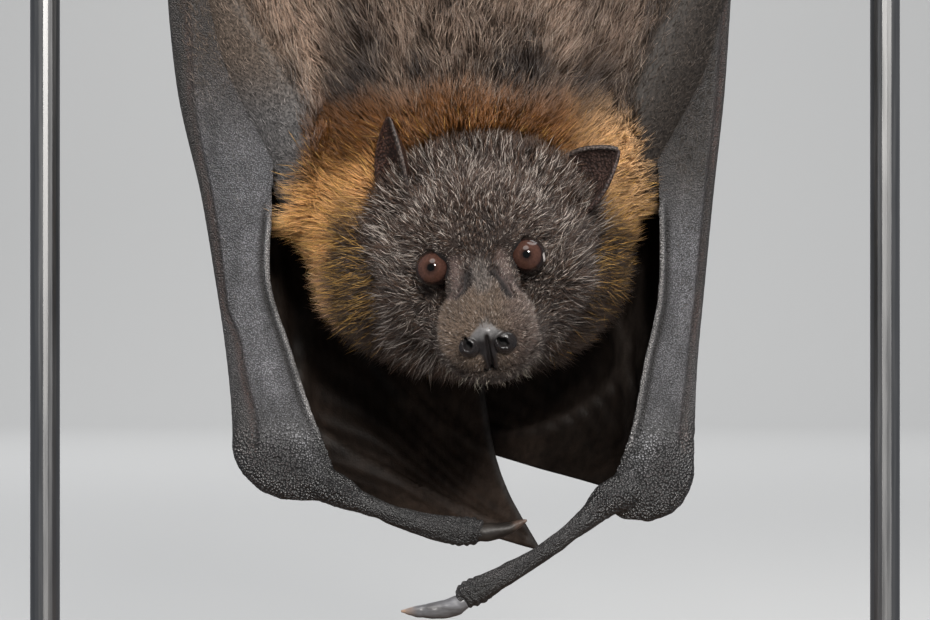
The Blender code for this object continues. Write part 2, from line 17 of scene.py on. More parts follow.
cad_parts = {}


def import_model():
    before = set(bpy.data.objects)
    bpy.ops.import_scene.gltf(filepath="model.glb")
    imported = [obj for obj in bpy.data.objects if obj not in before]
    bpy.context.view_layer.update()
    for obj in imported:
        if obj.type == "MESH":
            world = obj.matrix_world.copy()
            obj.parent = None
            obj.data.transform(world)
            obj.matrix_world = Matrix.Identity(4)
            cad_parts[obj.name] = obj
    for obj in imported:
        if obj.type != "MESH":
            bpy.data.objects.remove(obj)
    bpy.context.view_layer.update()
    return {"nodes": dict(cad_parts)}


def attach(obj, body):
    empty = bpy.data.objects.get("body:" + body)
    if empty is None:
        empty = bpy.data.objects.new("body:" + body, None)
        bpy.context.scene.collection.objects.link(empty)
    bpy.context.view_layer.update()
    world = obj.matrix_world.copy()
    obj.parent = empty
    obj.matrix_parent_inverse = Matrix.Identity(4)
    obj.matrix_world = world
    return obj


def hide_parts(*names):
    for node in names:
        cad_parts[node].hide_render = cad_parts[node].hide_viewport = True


MM = 0.001
SIDES = {"right": -1, "left": 1}
RNG = np.random.default_rng(20)
NOISE_CELLS = 32
NOISE_TABLE = np.random.default_rng(7).random((NOISE_CELLS,) * 3)

# Head: the middle between the eyes, and how the head is turned.
HEAD_AT = np.array([4.5, -45.0, 164.0])
HEAD_PITCH = math.radians(30)  # nose down
HEAD_ROLL = math.radians(8)  # the left side higher
HEAD_YAW = math.radians(-3)

# The head's shapes in its own axes (left, back, up) from the middle between the eyes.
MUZZLE = [
    (0, -34.0, -9.0, 4, 3.5), (0, -32.5, -9.0, 9.0, 6.6), (0, -27, -8.8, 12.6, 9.0),
    (0, -19, -7.6, 12.8, 10.0), (0, -10, -5.2, 10.6, 10.8), (0, 0, -2, 10, 12), (0, 10, 0, 14, 14),
]
JAW = [
    (0, -30.5, -17.0, 4, 2.5), (0, -28, -18.2, 9.2, 4.6), (0, -17, -19.0, 14, 7.0),
    (0, 0, -19.5, 22, 10), (0, 14, -17, 27, 15),
]
FOREHEAD = ((0, 17, 2), (25, 21, 23))
FACE = ((0, 20, -8), (33, 20, 25))
CROWN = ((0, 31, -5), (36, 22, 32))
THROAT = ((-3, 18, -25), (31, 18, 22))
BROW = ((7, 3, 8), (8, 10, 8))
CHEEK = ((15, 11, -13), (17, 13, 13))
BROW_MIDDLE = (1.5, -2, 9)

# Eyes.
EYE_APART = 13.4
EYE_DEPTH = 0.6
EYE_RADIUS = 5.6
EYE_PROUD = 0.45  # how far the eyeball stands forward of the lids' centre
EYE_OPENING = math.radians(49)  # half angle of the opening between the lids
LID_RADIUS = 6.15
LID_REACH = 14  # how far from an eye's centre its lids shape the skin
IRIS_ANGLE = math.radians(60)
PUPIL_ANGLE = math.radians(10.5)
WHITE_ANGLE = math.radians(90)
GAZE = {"right": (-0.17, -1.0, 0.05), "left": (-0.05, -1.0, 0.05)}

# Nose and mouth, in the head's axes.
NOSTRIL_FACES = (0.20, -0.95, 0.22)
# Each nostril's bulb (middle, radius) and its hole and slit, as steps from that middle.
NOSTRILS = {
    "right": ((-5.1, -32.2, -8.15), 3.1, (0.05, 0.2, 1.0), [(0.05, 0.2, 1.0), (-1.1, 0.8, 2.7)]),
    "left": ((4.8, -32.2, -8.15), 3.3, (-0.8, 0.0, 0.75), [(-1.7, 0.0, 1.5), (-0.1, 0.0, 0.1)]),
}
MOUTH_Z = -16.6
# The grooves that run from the brow between the eyes and down past their inner corners.
CORNER_FOLDS = [
    [(-3.8, -12.1, 3.5), (-4.1, -17.0, 2.3), (-6.2, -18.2, -0.2)],
    [(3.6, -12.9, 3.4), (4.5, -14.4, 2.9), (5.4, -15.2, 1.6), (6.5, -17.9, 0.0),
     (7.3, -20.3, -0.6)],
]
# The pinkish skin between each groove and the eye's inner corner.
CORNER_SKIN = [
    [(-7.2, -5.0, 4.0), (-7.2, -8.0, 2.3), (-7.2, -12.0, 1.0), (-7.6, -16.5, -0.4)],
    [(6.4, -6.1, 4.2), (6.9, -9.5, 2.1), (8.0, -13.2, 0.3), (9.2, -15.6, -1.4)],
]

# Body: (x, y, z, half width, half depth) down the middle of each length.
TRUNK = [
    (2, 15, 158, 22, 15), (2, 12, 172, 38, 27), (1, 8, 195, 46, 37), (0, 6, 222, 49, 42),
    (0, 5, 250, 50, 43), (0, 6, 282, 47, 41), (0, 7, 310, 39, 34), (0, 8, 332, 26, 24),
    (0, 8, 346, 9, 9),
]
MANTLE = [((0.5, 3.0, 180.0), (55.0, 31.0, 37.0)), ((2.0, -3.0, 164.0), (49.0, 26.0, 34.0))]
UPPER_ARM = [
    (34, 4, 174, 18, 18), (46, 3, 203, 18, 18), (58, 3, 230, 18, 16), (69, 5, 252, 13, 13),
    (78, 6, 268, 9, 10), (84, 7, 279, 5, 6),
]
LEG = [
    (15, 4, 318, 16, 16), (24, -6, 342, 14, 14), (33, -14, 362, 10, 10), (33, -14, 374, 8, 8),
    (28, -10, 396, 6, 6), (23, -8, 416, 4.4, 4.4), (21, -8, 424, 3, 3),
]

# Forearm with the skin in front of it: outer edge, inner edge, half thickness.
FOREARM = {
    "right": [
        (-82, 8, 283, -78, 7, 282, 2), (-90, 8, 276, -70, 3, 276, 6),
        (-90, 6, 250, -62, -1, 250, 8), (-86.5, 5, 216, -57, -5, 216, 7),
        (-79.5, 4, 186, -57, -7, 186, 6), (-75, 3, 160, -58, -6, 160, 5),
        (-72, 1, 140, -52, -7, 140, 5), (-70, -2, 122, -46, -9, 122, 5.4),
        (-69.3, -5, 108.5, -40.4, -11, 108.6, 6.8), (-66.3, -7, 102, -38, -13, 102, 7.2),
        (-61, -8, 97, -37, -13, 97, 6.4), (-55, -9, 94.3, -40, -13, 94, 3.2),
    ],
    "left": [
        (76, 8, 283, 72, 7, 282, 2), (83, 8, 276, 64, 3, 276, 6), (80.5, 6, 250, 57, -1, 250, 8),
        (78, 5, 216, 56, -5, 216, 7), (74.5, 4, 186, 57.5, -7, 186, 6),
        (71.5, 2, 156, 57.5, -7, 156, 5), (69.5, -1, 134, 53, -8, 134, 5),
        (68.5, -5, 114, 49, -10, 114, 5.6), (68, -8, 101, 44, -12, 102, 7.2),
        (65.6, -9, 95, 42, -14, 96, 7.2), (61.5, -10, 90.5, 43, -14, 91.5, 6.2),
        (55.5, -11, 88, 46, -13, 88.6, 3),
    ],
}
# How far in from the forearm's outer edge its long fold lies, by height.
ARM_FOLD = {
    "right": ([119, 129, 141, 151, 172, 190, 201, 219, 232],
              [7.3, 5.3, 4.6, 1.9, 2.7, 3.0, 3.6, 4.8, 6.0]),
    "left": ([101, 108, 120, 130, 141, 152, 180, 200, 230],
             [4.2, 4.2, 3.6, 2.8, 2.6, 1.9, 2.0, 1.8, 2.1]),
}
# The forearm's brown upper end and its heights, how dark the thumb is below, and painted light on
# its top.
ARM_TONES = {
    "right": ((0.044, 0.032, 0.025), (190, 235), 0.72, 0.5),
    "left": ((0.028, 0.0215, 0.0175), (168, 196), 0.85, 1.5),
}
THUMB = {
    "right": [
        (-46, -10, 100.5, 5.6, 5.0), (-37, -13, 96.8, 4.8, 4.4), (-31.5, -15, 94.0, 3.4, 3.5),
        (-25, -16, 91.6, 2.9, 3.1), (-19, -16.5, 89.3, 3.1, 3.1), (-13, -17, 87.6, 3.5, 3.4),
        (-7, -17, 86.2, 4.0, 3.7), (-2, -17, 85.5, 4.4, 3.9), (2.5, -17, 85.5, 4.0, 3.6),
        (5.5, -17, 85.6, 2.6, 2.6),
    ],
    "left": [
        (50, -12, 98, 6.0, 5.0), (42, -15.5, 94.5, 4.9, 4.6), (36.5, -18, 89.5, 3.4, 3.5),
        (31, -19.5, 85.3, 2.7, 2.9), (23.5, -20.5, 79.8, 2.6, 2.8), (15, -21, 74.5, 3.0, 3.0),
        (8, -21, 70.6, 3.5, 3.4), (3.5, -21, 68.2, 4.0, 3.7), (0, -21, 66.6, 3.7, 3.4),
        (-2.2, -21, 65.8, 2.6, 2.6),
    ],
}
THUMB_CLAW = {
    "right": [
        (3.5, -17, 85.0, 2.5, 2.7), (6.5, -17, 85.1, 2.7, 2.7), (10, -17, 85.5, 2.3, 2.5),
        (13.3, -17.3, 86.4, 1.7, 2.0), (16, -17.7, 87.7, 1.0, 1.2), (18.2, -18, 88.7, 0.3, 0.4),
    ],
    "left": [
        (0, -21, 65.2, 2.4, 2.5), (-3, -21, 63.6, 2.8, 2.7), (-7.5, -21, 62.5, 2.6, 2.5),
        (-12, -21, 62.2, 2.0, 2.1), (-15.6, -21, 62.1, 1.3, 1.4), (-18.8, -21, 62.1, 0.3, 0.4),
    ],
}

# Hand wing, wrapped over the belly: outer edge, free edge, and how far it bulges between them.
HAND_WING = {
    "right": [
        (-50, -1, 98, 23, 6, 78, 9), (-62, 5, 110, 12, 20, 98, 12), (-66, 9, 130, 7, 33, 119, 15),
        (-71, 11, 165, 5, 45, 155, 17), (-80, 14, 215, 14, 55, 215, 17),
        (-84, 16, 270, 9, 53, 283, 16), (-56, 13, 335, -9, 43, 345, 11),
        (-27, 6, 396, -15, 20, 402, 4),
    ],
    "left": [
        (52, -1, 94, -7, 45, 110, 5), (63, 6, 112, -13, 52, 126, 10),
        (66, 9, 140, -17, 58, 152, 14), (69, 12, 180, -21, 65, 190, 17),
        (73, 14, 225, -21, 68, 232, 18), (77, 16, 270, -14, 66, 283, 16),
        (54, 13, 335, 8, 46, 345, 11), (27, 6, 396, 15, 20, 402, 4),
    ],
}
WING_ACROSS, WING_ALONG = 72, 180
MEMBRANE_THICK = 0.9
PLEATS = 20
PLEAT_SLANT = {"right": 0.42, "left": -0.40}
# Each finger's line, as shares across and along the wing, and its radius at both ends.
FINGERS = {
    2: ([(0.025, 0.10), (0.03, 0.25), (0.04, 0.40)], (1.7, 1.1)),
    3: ([(0.07, 0.09), (0.08, 0.40), (0.11, 0.54), (0.17, 0.53), (0.20, 0.42), (0.26, 0.24),
         (0.45, 0.13), (0.70, 0.06), (0.96, 0.02)], (2.1, 1.1)),
    4: ([(0.12, 0.10), (0.26, 0.48), (0.31, 0.61), (0.37, 0.61), (0.41, 0.52), (0.52, 0.34),
         (0.94, 0.21)], (2.0, 1.0)),
    5: ([(0.17, 0.11), (0.40, 0.50), (0.53, 0.70), (0.66, 0.66), (0.93, 0.46)], (2.0, 1.0)),
}
FINGER_STEPS = 180

# Ears: root, tip, the way the hollow faces, the half width and the skin's colour.
EAR = {
    "right": ((-18.5, -23, 181), (-22.2, -31, 206.5), (-0.8, -0.6, 0), 8.5,
              (0.042, 0.0185, 0.0125)),
    "left": ((30, -20, 184), (44.6, -29, 197.2), (-0.1, -0.9, 0.35), 9.5, (0.042, 0.024, 0.0195)),
}
EAR_GRID = 34
EAR_THICK = 1.1

# Thumb claws: material, dark and pale streaks, worn tip and roughness.
HORN = {
    "right": ("claw_horn_brown", (0.009, 0.007, 0.006), (0.034, 0.027, 0.022),
              (0.13, 0.085, 0.065), 0.5),
    "left": ("claw_horn_grey", (0.055, 0.052, 0.052), (0.15, 0.15, 0.16),
             (0.26, 0.175, 0.125), 0.3),
}

# Feet and perch.
TOES = 5
TOE_SPREAD = 4.6
TOE_RADIUS = 1.7
FOOT_X = 22.0
ANKLE_X = 23
SOLE = [(-9.0, -17, 4.0, 3.4), (-9.5, -12, 6.0, 3.2), (-8.8, -4, 9.5, 2.6), (-7.8, 1, 9.5, 1.8)]
TOE_TURNS = (185, 155, 125, 100)
TOE_CLAW = [(97, 1.25, 14.6), (78, 1.2, 14.9), (52, 0.9, 14.7), (28, 0.3, 13.2)]
PERCH_Z = 436.0
PERCH_Y = 8.0
PERCH_RADIUS = 12.0
PERCH_HALF = 146.0
KNOTS = ((-78, -3, 443), (64, 18, 444), (104, -4, 432))

# Pale and dark locks of the back: x, z, half width, half height and strength.
BACK_LOCKS = [
    (-47, 222, 11, 20, 0.7), (-52, 226, 10, 20, 0.7), (4, 228, 6, 16, 0.18), (44, 226, 10, 12, 0.3),
    (-16, 236, 6, 12, 0.18), (24, 238, 6, 14, 0.18), (-28, 226, 9, 16, -0.40),
    (14, 222, 7, 12, -0.40), (-4, 214, 20, 5, -0.40), (30, 214, 12, 5, -0.40),
    (-38, 208, 12, 5, -0.40),
]

# Coat: how many tufts each part has, and how each is built.
HEAD_HAIRS = 52000
CHIN_HAIRS = 190
COLLAR_HAIRS = 38000
BACK_HAIRS = 36500
ARM_HAIRS = 8200
FOREARM_HAIRS = 3300
LEG_HAIRS = 6000
SKIN_SHARE = 0.5  # the skin's colour, as a share of the coat's over it
CURL = 0.13  # how far a tuft bends sideways, as a share of its length
ROOT_DEPTH = 0.35  # how deep a tuft is rooted in the skin
TUFT_RINGS = ((0.0, 0.85), (0.5, 1.0), (1.0, 0.0))  # place along the tuft, share of its width
TUFT_TURNS = np.array([0.5, 1.1667, 1.8333]) * math.pi
TUFT_POINTS = 7
TUFT_FACES = np.array([
    (2, 1, 0), (0, 1, 4), (0, 4, 3), (1, 2, 5), (1, 5, 4),
    (2, 0, 3), (2, 3, 5), (3, 4, 6), (4, 5, 6), (5, 3, 6),
])
MOST_TRIANGLES = 190000  # in one mesh of tufts
BURIED = 5.0  # how deep inside the neighbouring shape no tufts are needed
BAKE_PATCH = 0.003  # how wide each tuft is in the OFBake map

# Camera and lights.
CAMERA_AT = (0.0, -1.0, 0.1506)
CAMERA_VIEW = 0.279  # width of the picture at the bat's middle
SENSOR = 36.0
MIDDLE = (0, 0, 0.17)
LIGHTS = [  # name, place, target, size, power, colour and whether it shows in gloss
    ("key", (0.22, -1.25, 0.72), MIDDLE, 0.24, 21, (1.0, 0.97, 0.93), True),
    ("front", (-0.2, -0.95, 1.55), MIDDLE, 1.1, 18, (1.0, 0.98, 0.95), True),
    ("left", (-1.6, -0.25, 0.5), MIDDLE, 0.9, 12, (0.94, 0.97, 1.0), False),
    ("right", (1.6, -0.25, 0.5), MIDDLE, 0.9, 5, (0.95, 0.97, 1.0), False),
    ("top", (0.5, 0.4, 1.7), MIDDLE, 1.3, 20, (1.0, 1.0, 1.0), True),
    ("back", (-1.2, 2.2, 2.2), MIDDLE, 1.4, 22, (0.95, 0.97, 1.0), True),
    ("backdrop", (0, 2.4, 2.6), (0, 5.0, 0.5), 2.0, 85, (1.0, 1.0, 1.0), False),
]


# Numbers


def ramp(value, low, high):
    """0 below low, 1 above high and smooth between; high may be the smaller."""
    t = np.clip((value - low) / (high - low), 0, 1)
    return t * t * (3 - 2 * t)


def bell(value, middle, width):
    """1 at the middle and falling off smoothly on both sides."""
    return np.exp(-(((value - middle) / width) ** 2))


def unit(vectors):
    vectors = np.asarray(vectors, float)
    return vectors / np.maximum(np.linalg.norm(vectors, axis=-1, keepdims=True), 1e-9)


def distance(points, place):
    return np.linalg.norm(points - np.asarray(place), axis=1)


def mixed(a, b, share):
    share = np.asarray(share)[..., None]
    return np.asarray(a) * (1 - share) + np.asarray(b) * share


def layered(colour, *layers):
    """The colour with others laid over it, each by its own share."""
    for other, share in layers:
        colour = mixed(colour, other, share)
    return colour


def noise(points, scale, shift=0.0):
    """Smooth noise from 0 to 1 with features of about `scale`, which may differ by axis."""
    place = points / np.asarray(scale, float) + shift
    cell = np.floor(place).astype(int)
    t = place - cell
    t = t * t * (3 - 2 * t)
    total = np.zeros(len(points))
    for corner in np.ndindex(2, 2, 2):
        index = (cell + corner) % NOISE_CELLS
        weight = np.prod(np.where(corner, t, 1 - t), axis=1)
        total += weight * NOISE_TABLE[index[:, 0], index[:, 1], index[:, 2]]
    return total


def near_path(points, *paths):
    """Distance from each point to the nearest of the lines through the places of the paths."""
    best = np.full(len(points), np.inf)
    for path in paths:
        for a, b in zip(path, path[1:]):
            a, b = np.array(a, float), np.array(b, float)
            t = np.clip((points - a) @ (b - a) / ((b - a) @ (b - a)), 0, 1)
            best = np.minimum(best, np.linalg.norm(points - a - t[:, None] * (b - a), axis=1))
    return best


def row_at(rows, place):
    """The row at `place`, from 0 at the first row to 1 at the last, on a Catmull-Rom curve."""
    rows = np.array(rows, float)
    last = len(rows) - 1
    held = np.vstack([2 * rows[0] - rows[1], rows, 2 * rows[-1] - rows[-2]])
    first = min(int(place * last), last - 1)
    t = place * last - first
    a, b, c, d = held[first : first + 4]
    bend = (2 * a - 5 * b + 4 * c - d) * t**2 + (3 * b - a - 3 * c + d) * t**3
    return 0.5 * (2 * b + (c - a) * t + bend)


def smooth_rows(rows, count):
    return np.array([row_at(rows, place) for place in np.linspace(0, 1, count)])


# Meshes


def put(name, mesh):
    """A smooth object with this mesh, in the scene."""
    obj = bpy.data.objects.new(name, mesh)
    bpy.context.scene.collection.objects.link(obj)
    mesh.shade_smooth()
    return obj


def built(name, points, faces, outwards=True):
    """An object from points in millimetres."""
    mesh = bpy.data.meshes.new(name)
    mesh.from_pydata((np.asarray(points) * MM).tolist(), [], faces)
    if outwards:
        work = bmesh.new()
        work.from_mesh(mesh)
        bmesh.ops.recalc_face_normals(work, faces=work.faces)
        work.to_mesh(mesh)
        work.free()
    return put(name, mesh)


def loft(name, rings):
    """A closed solid through rings of one size, with a fan at each end."""
    size = len(rings[0])
    points = np.vstack([*rings, rings[0].mean(axis=0), rings[-1].mean(axis=0)])
    faces = []
    for ring in range(len(rings) - 1):
        for k in range(size):
            here, there = ring * size + k, ring * size + (k + 1) % size
            faces.append((here, there, there + size, here + size))
    low, high = len(points) - 2, len(points) - 1
    top = (len(rings) - 1) * size
    for k in range(size):
        faces += [(low, (k + 1) % size, k), (high, top + k, top + (k + 1) % size)]
    return built(name, points, faces)


def tube(name, rows, count, sides, facing=(0, -1, 0)):
    """A round or oval length along rows of (x, y, z, half width, half depth)."""
    rows = smooth_rows(rows, count)
    facing = np.array(facing, float)
    angle = np.linspace(0, 2 * math.pi, sides, endpoint=False)[:, None]
    rings = []
    for row, along in zip(rows, unit(np.gradient(rows[:, :3], axis=0))):
        front = unit(facing - along * (facing @ along))
        across = np.cross(along, front)
        rings.append(row[:3] + row[3] * np.cos(angle) * across + row[4] * np.sin(angle) * front)
    return loft(name, rings)


def ball(name, centre, radii, turn, rings=24, sides=36):
    """An ellipsoid, turned by a 3 x 3 matrix."""
    angle = np.linspace(0, 2 * math.pi, sides, endpoint=False)
    loops = []
    for lift in np.linspace(-math.pi / 2, math.pi / 2, rings + 2)[1:-1]:
        loop = np.stack([np.cos(angle) * math.cos(lift), np.sin(angle) * math.cos(lift)], axis=1)
        loop = np.column_stack([loop, np.full(sides, math.sin(lift))])
        loops.append(centre + (loop * radii) @ turn.T)
    return loft(name, loops)


def sheet(name, surface, across, along, thickness):
    """A closed sheet over surface(u, v); thickness(grid) gives its thickness at each grid point."""
    grid = [[surface(u, v) for u in np.linspace(0, 1, across)] for v in np.linspace(0, 1, along)]
    grid = np.array(grid)
    normal = unit(np.cross(np.gradient(grid, axis=1), np.gradient(grid, axis=0)))
    half = normal * thickness(grid)[..., None] / 2
    points = np.vstack([(grid + half).reshape(-1, 3), (grid - half).reshape(-1, 3)])
    under = across * along
    faces = []
    for j in range(along - 1):
        for i in range(across - 1):
            a = j * across + i
            faces.append((a, a + 1, a + 1 + across, a + across))
            faces.append((under + a, under + a + across, under + a + 1 + across, under + a + 1))
    rim = list(range(across))
    rim += [j * across + across - 1 for j in range(1, along)]
    rim += [(along - 1) * across + i for i in range(across - 2, -1, -1)]
    rim += [j * across for j in range(along - 2, 0, -1)]
    faces += [(a, b, under + b, under + a) for a, b in zip(rim, rim[1:] + rim[:1])]
    return built(name, points, faces)


def settled(obj, kind, **settings):
    """Adds a modifier and bakes all of the object's modifiers into its mesh."""
    add_modifier(obj, kind, **settings)
    graph = bpy.context.evaluated_depsgraph_get()
    graph.update()
    old = obj.data
    obj.data = bpy.data.meshes.new_from_object(obj.evaluated_get(graph))
    obj.modifiers.clear()
    bpy.data.meshes.remove(old)
    obj.data.shade_smooth()
    return obj


def add_modifier(obj, kind, **settings):
    modifier = obj.modifiers.new(kind, kind)
    for name, value in settings.items():
        setattr(modifier, name, value)


def joined(name, shapes):
    work = bmesh.new()
    for shape in shapes:
        work.from_mesh(shape.data)
    mesh = bpy.data.meshes.new(name)
    work.to_mesh(mesh)
    work.free()
    for shape in shapes:
        bpy.data.objects.remove(shape, do_unlink=True)
    return put(name, mesh)


def softened(obj, times):
    return settled(obj, "SMOOTH", factor=0.5, iterations=times)


def fused(name, shapes, voxel, smoothing):
    """One skin over overlapping shapes."""
    obj = joined(name, shapes)
    add_modifier(obj, "REMESH", mode="VOXEL", voxel_size=voxel * MM)
    return softened(obj, smoothing)


def thinned(obj, ratio):
    return settled(obj, "DECIMATE", ratio=ratio)


def finer(obj, wanted):
    """Divides the faces whose middles `wanted` picks."""
    work = bmesh.new()
    work.from_mesh(obj.data)
    work.faces.ensure_lookup_table()
    middles = np.array([face.calc_center_median() for face in work.faces]) / MM
    chosen = np.flatnonzero(wanted(middles))
    edges = {edge for index in chosen for edge in work.faces[index].edges}
    bmesh.ops.subdivide_edges(work, edges=list(edges), cuts=1, use_grid_fill=True)
    work.to_mesh(obj.data)
    work.free()
    obj.data.shade_smooth()


def vertex_data(obj, name):
    found = np.empty(len(obj.data.vertices) * 3)
    obj.data.vertices.foreach_get(name, found)
    return found.reshape(-1, 3)


def places(obj):
    return vertex_data(obj, "co") / MM


def normals(obj):
    return vertex_data(obj, "normal")


def moved(obj, points):
    obj.data.vertices.foreach_set("co", (points * MM).ravel())
    obj.data.update()


def painted(obj, colours, material, extra=0.0):
    """Stores a colour at each vertex, and one more number as its alpha, as the attribute `tint`."""
    layer = obj.data.color_attributes.new("tint", "FLOAT_COLOR", "POINT")
    rgba = np.column_stack([colours, np.broadcast_to(extra, len(colours))])
    layer.data.foreach_set("color", rgba.ravel())
    obj.data.materials.clear()
    obj.data.materials.append(material)
    return obj


# Head


def head_turn():
    """Turns the head's own axes (left, back, up) into the world's."""
    pitch = Matrix.Rotation(HEAD_PITCH, 3, "X")
    roll = Matrix.Rotation(-HEAD_ROLL, 3, "Y")
    yaw = Matrix.Rotation(HEAD_YAW, 3, "Z")
    return np.array(yaw @ roll @ pitch)


HEAD_TURN = head_turn()


def on_head(place):
    return HEAD_AT + np.array(place, float) @ HEAD_TURN.T


def in_head(points):
    """World places in the head's own axes."""
    return (points - HEAD_AT) @ HEAD_TURN


def head_ball(place, radii):
    return ball("blob", on_head(place), np.array(radii, float), HEAD_TURN)


def head_tube(rows):
    placed = [(*on_head(row[:3]), *row[3:]) for row in rows]
    return tube("blob", placed, 40, 40, facing=HEAD_TURN @ np.array([0, 0, 1.0]))


def coat_depth_head(local):
    """How deep the skin lies under the tips of the head's coat."""
    y, z = local[:, 1], local[:, 2]
    depth = 0.35 + 0.5 * ramp(y, -30, -20) + 0.9 * ramp(y, -18, -4) + 2.4 * ramp(y, -2, 18)
    return depth + 2.5 * ramp(z, -14, -26) * ramp(y, -14, 4)


def nostril_places(local):
    """For each side: reach from the bulb's middle as a share of its radius, distance from the
    hole's middle, and distance from the slit."""
    for side, sign in SIDES.items():
        centre, radius, hole, slit = NOSTRILS[side]
        axis = unit(np.array(NOSTRIL_FACES) * (sign, 1, 1))
        away = local - centre
        away -= np.outer(away @ axis, axis)
        yield distance(away, 0) / radius, distance(away, hole), near_path(away, slit)


def nostril_bulb(local):
    """1 within the nostrils' round bulbs and 0 outside."""
    return np.max([ramp(share, 1.12, 0.92) for share, _, _ in nostril_places(local)], axis=0)


def nostril_hole(local):
    """1 within the nostrils and 0 outside."""
    holes = []
    for _, reach, slit in nostril_places(local):
        holes += [ramp(reach, 1.35, 0.8), 0.9 * ramp(slit, 0.85, 0.4)]
    return np.max(holes, axis=0)


def nose_middle(local):
    """1 on the bare skin between the nostrils: the nose's top and the strip down to the lip."""
    x, y, z = local.T
    wide = 2.0 + 2.8 * ramp(z, -11.2, -8.4) - 3.4 * ramp(z, -5.6, -1.2)
    strip = ramp(np.abs(x), wide + 0.9, wide - 0.7) * ramp(y, -23, -28)
    return strip * ramp(z, 0.2, -3.4) * ramp(z, -17.4, -16.6)


def above_mouth(local):
    x, y, z = local.T
    return z - (MOUTH_Z - 0.012 * x**2 + 0.02 * (y + 30))


def nose_shape(local):
    """Displacements of the nose and mouth along the normal."""
    x, y, z = local.T
    lift = np.zeros(len(local))
    for share, _, _ in nostril_places(local):
        dome = np.clip(1 - share**2, 0, 1) ** 0.7
        lift = np.maximum(lift, 1.9 * dome)
        lift -= 0.25 * bell(share, 1.12, 0.14)
    lift -= 2.4 * nostril_hole(local)
    front = ramp(y, -24, -28)
    lift += 0.9 * bell(x, 0, 2.3) * bell(z, -4.4, 2.3) * front
    groove = bell(x, 0, 0.50) * ramp(z, -3.6, -5.4) * ramp(z, -18.0, -16.6)
    lift -= 1.1 * groove * front
    ridge = bell(np.abs(x), 1.2, 0.55) * ramp(z, -9.0, -11.5) * ramp(z, -17.0, -15.4)
    lift += 0.5 * ridge * front
    split = above_mouth(local)
    lips = 0.55 * bell(split, 1.5, 1.0) + 0.35 * bell(split, -1.6, 1.0) - 1.1 * bell(split, 0, 0.55)
    return lift + lips * ramp(y, -12, -18)


def corner_skin(local):
    """1 on the pinkish skin at the eyes' inner corners."""
    return ramp(near_path(local, *CORNER_SKIN), 3.4, 1.8)


def bridge(local):
    """1 on the greyish hair of the muzzle's root, between the grooves."""
    return ramp(near_path(local, [(-0.4, -11.7, 4.3), (0.5, -18.5, 2.0)]), 3.6, 1.4)


def eye_centre(side):
    return on_head((SIDES[side] * EYE_APART, EYE_DEPTH, 0))


def eye_axis(side):
    return unit(np.array([SIDES[side] * 0.10, -1.0, 0.02]))


def from_eye(points, side):
    """Steps from the eye's centre, their lengths, and their angles from its axis."""
    away = points - eye_centre(side)
    angle = np.arccos(np.clip(unit(away) @ eye_axis(side), -1, 1))
    return away, np.linalg.norm(away, axis=1), angle


def near_eyes(points):
    """Distance to the nearer eye's centre."""
    return np.minimum(*[from_eye(points, side)[1] for side in SIDES])


def past_lids(points):
    """How far each point lies outside the opening of the nearer eye."""
    ways = []
    for side in SIDES:
        _, reach, angle = from_eye(points, side)
        ways.append((angle - EYE_OPENING) * LID_RADIUS + np.maximum(reach - LID_RADIUS, 0))
    return np.minimum(*ways)


def lower_rims(points):
    """1 on the pale moist rims of the lower lids."""
    found = np.zeros(len(points))
    for side in SIDES:
        away, reach, angle = from_eye(points, side)
        rim = ramp(np.abs((angle - EYE_OPENING) * LID_RADIUS - 1.0), 0.40, 0.12)
        rim = rim * ramp(-(away @ HEAD_TURN[:, 2]), 0.6, 2.6)
        found = np.maximum(found, rim * ramp(reach, LID_RADIUS + 1.8, LID_RADIUS + 1.1))
    return found


def lids(points, side):
    """Moves the skin round an eye into lids that lie on the eyeball."""
    axis = eye_axis(side)
    away, reach, angle = from_eye(points, side)
    way = unit(away)
    level = unit(np.cross(axis, HEAD_TURN[:, 2]))
    along = np.abs(unit(way - np.outer(way @ axis, axis)) @ level)
    past = angle - (EYE_OPENING + math.radians(5) * along**3)
    hug = ramp(past, math.radians(58), math.radians(17))
    lid = LID_RADIUS + 0.35 * bell(past, math.radians(9), math.radians(7))
    outer = np.maximum(reach, lid * ramp(angle, math.radians(125), math.radians(95)))
    outer = outer * (1 - hug) + lid * hug
    inner = np.minimum(reach, EYE_RADIUS - 0.9)
    share = ramp(past, -math.radians(3), math.radians(3))
    target = inner * (1 - share) + outer * share
    new = reach + (target - reach) * ramp(reach, LID_REACH, 10)
    near = (reach < LID_REACH)[:, None]
    return np.where(near, eye_centre(side) + way * new[:, None], points)


def head_colour(local):
    """Colour of the coat on the head."""
    x, y, z = local.T
    dark = np.array([0.052, 0.038, 0.032])
    pink = np.array([0.180, 0.128, 0.114])
    velvet = np.array([0.142, 0.101, 0.074]) * (1.12 - 0.20 * ramp(x, -4, 6))[:, None]
    muzzle = ramp(y, -14, -21) * ramp(z, -20, -14)
    middles = [(sign * EYE_APART, -2, 0) for sign in SIDES.values()]
    sockets = [ramp(distance(local, middle), 10, 5) for middle in middles]
    colour = layered(
        dark,
        ((0.058, 0.038, 0.030), ramp(z + 0.2 * y, -6, 10)),
        ((0.150, 0.080, 0.035), ramp(y, 26, 38) * 0.6),
        (velvet, muzzle),
        (pink * 0.72, 0.55 * muzzle * ramp(x, 3, 9)),
        *[(dark * 0.8, 0.3 * socket) for socket in sockets],
        (dark * 0.7, 0.7 * ramp(distance(local, BROW_MIDDLE), 11, 4)),
        ((0.175, 0.150, 0.136), 0.7 * bridge(local)),
        (pink, 0.65 * corner_skin(local)),
    )
    return colour * (0.72 + 0.56 * noise(local, 2.6))[:, None]


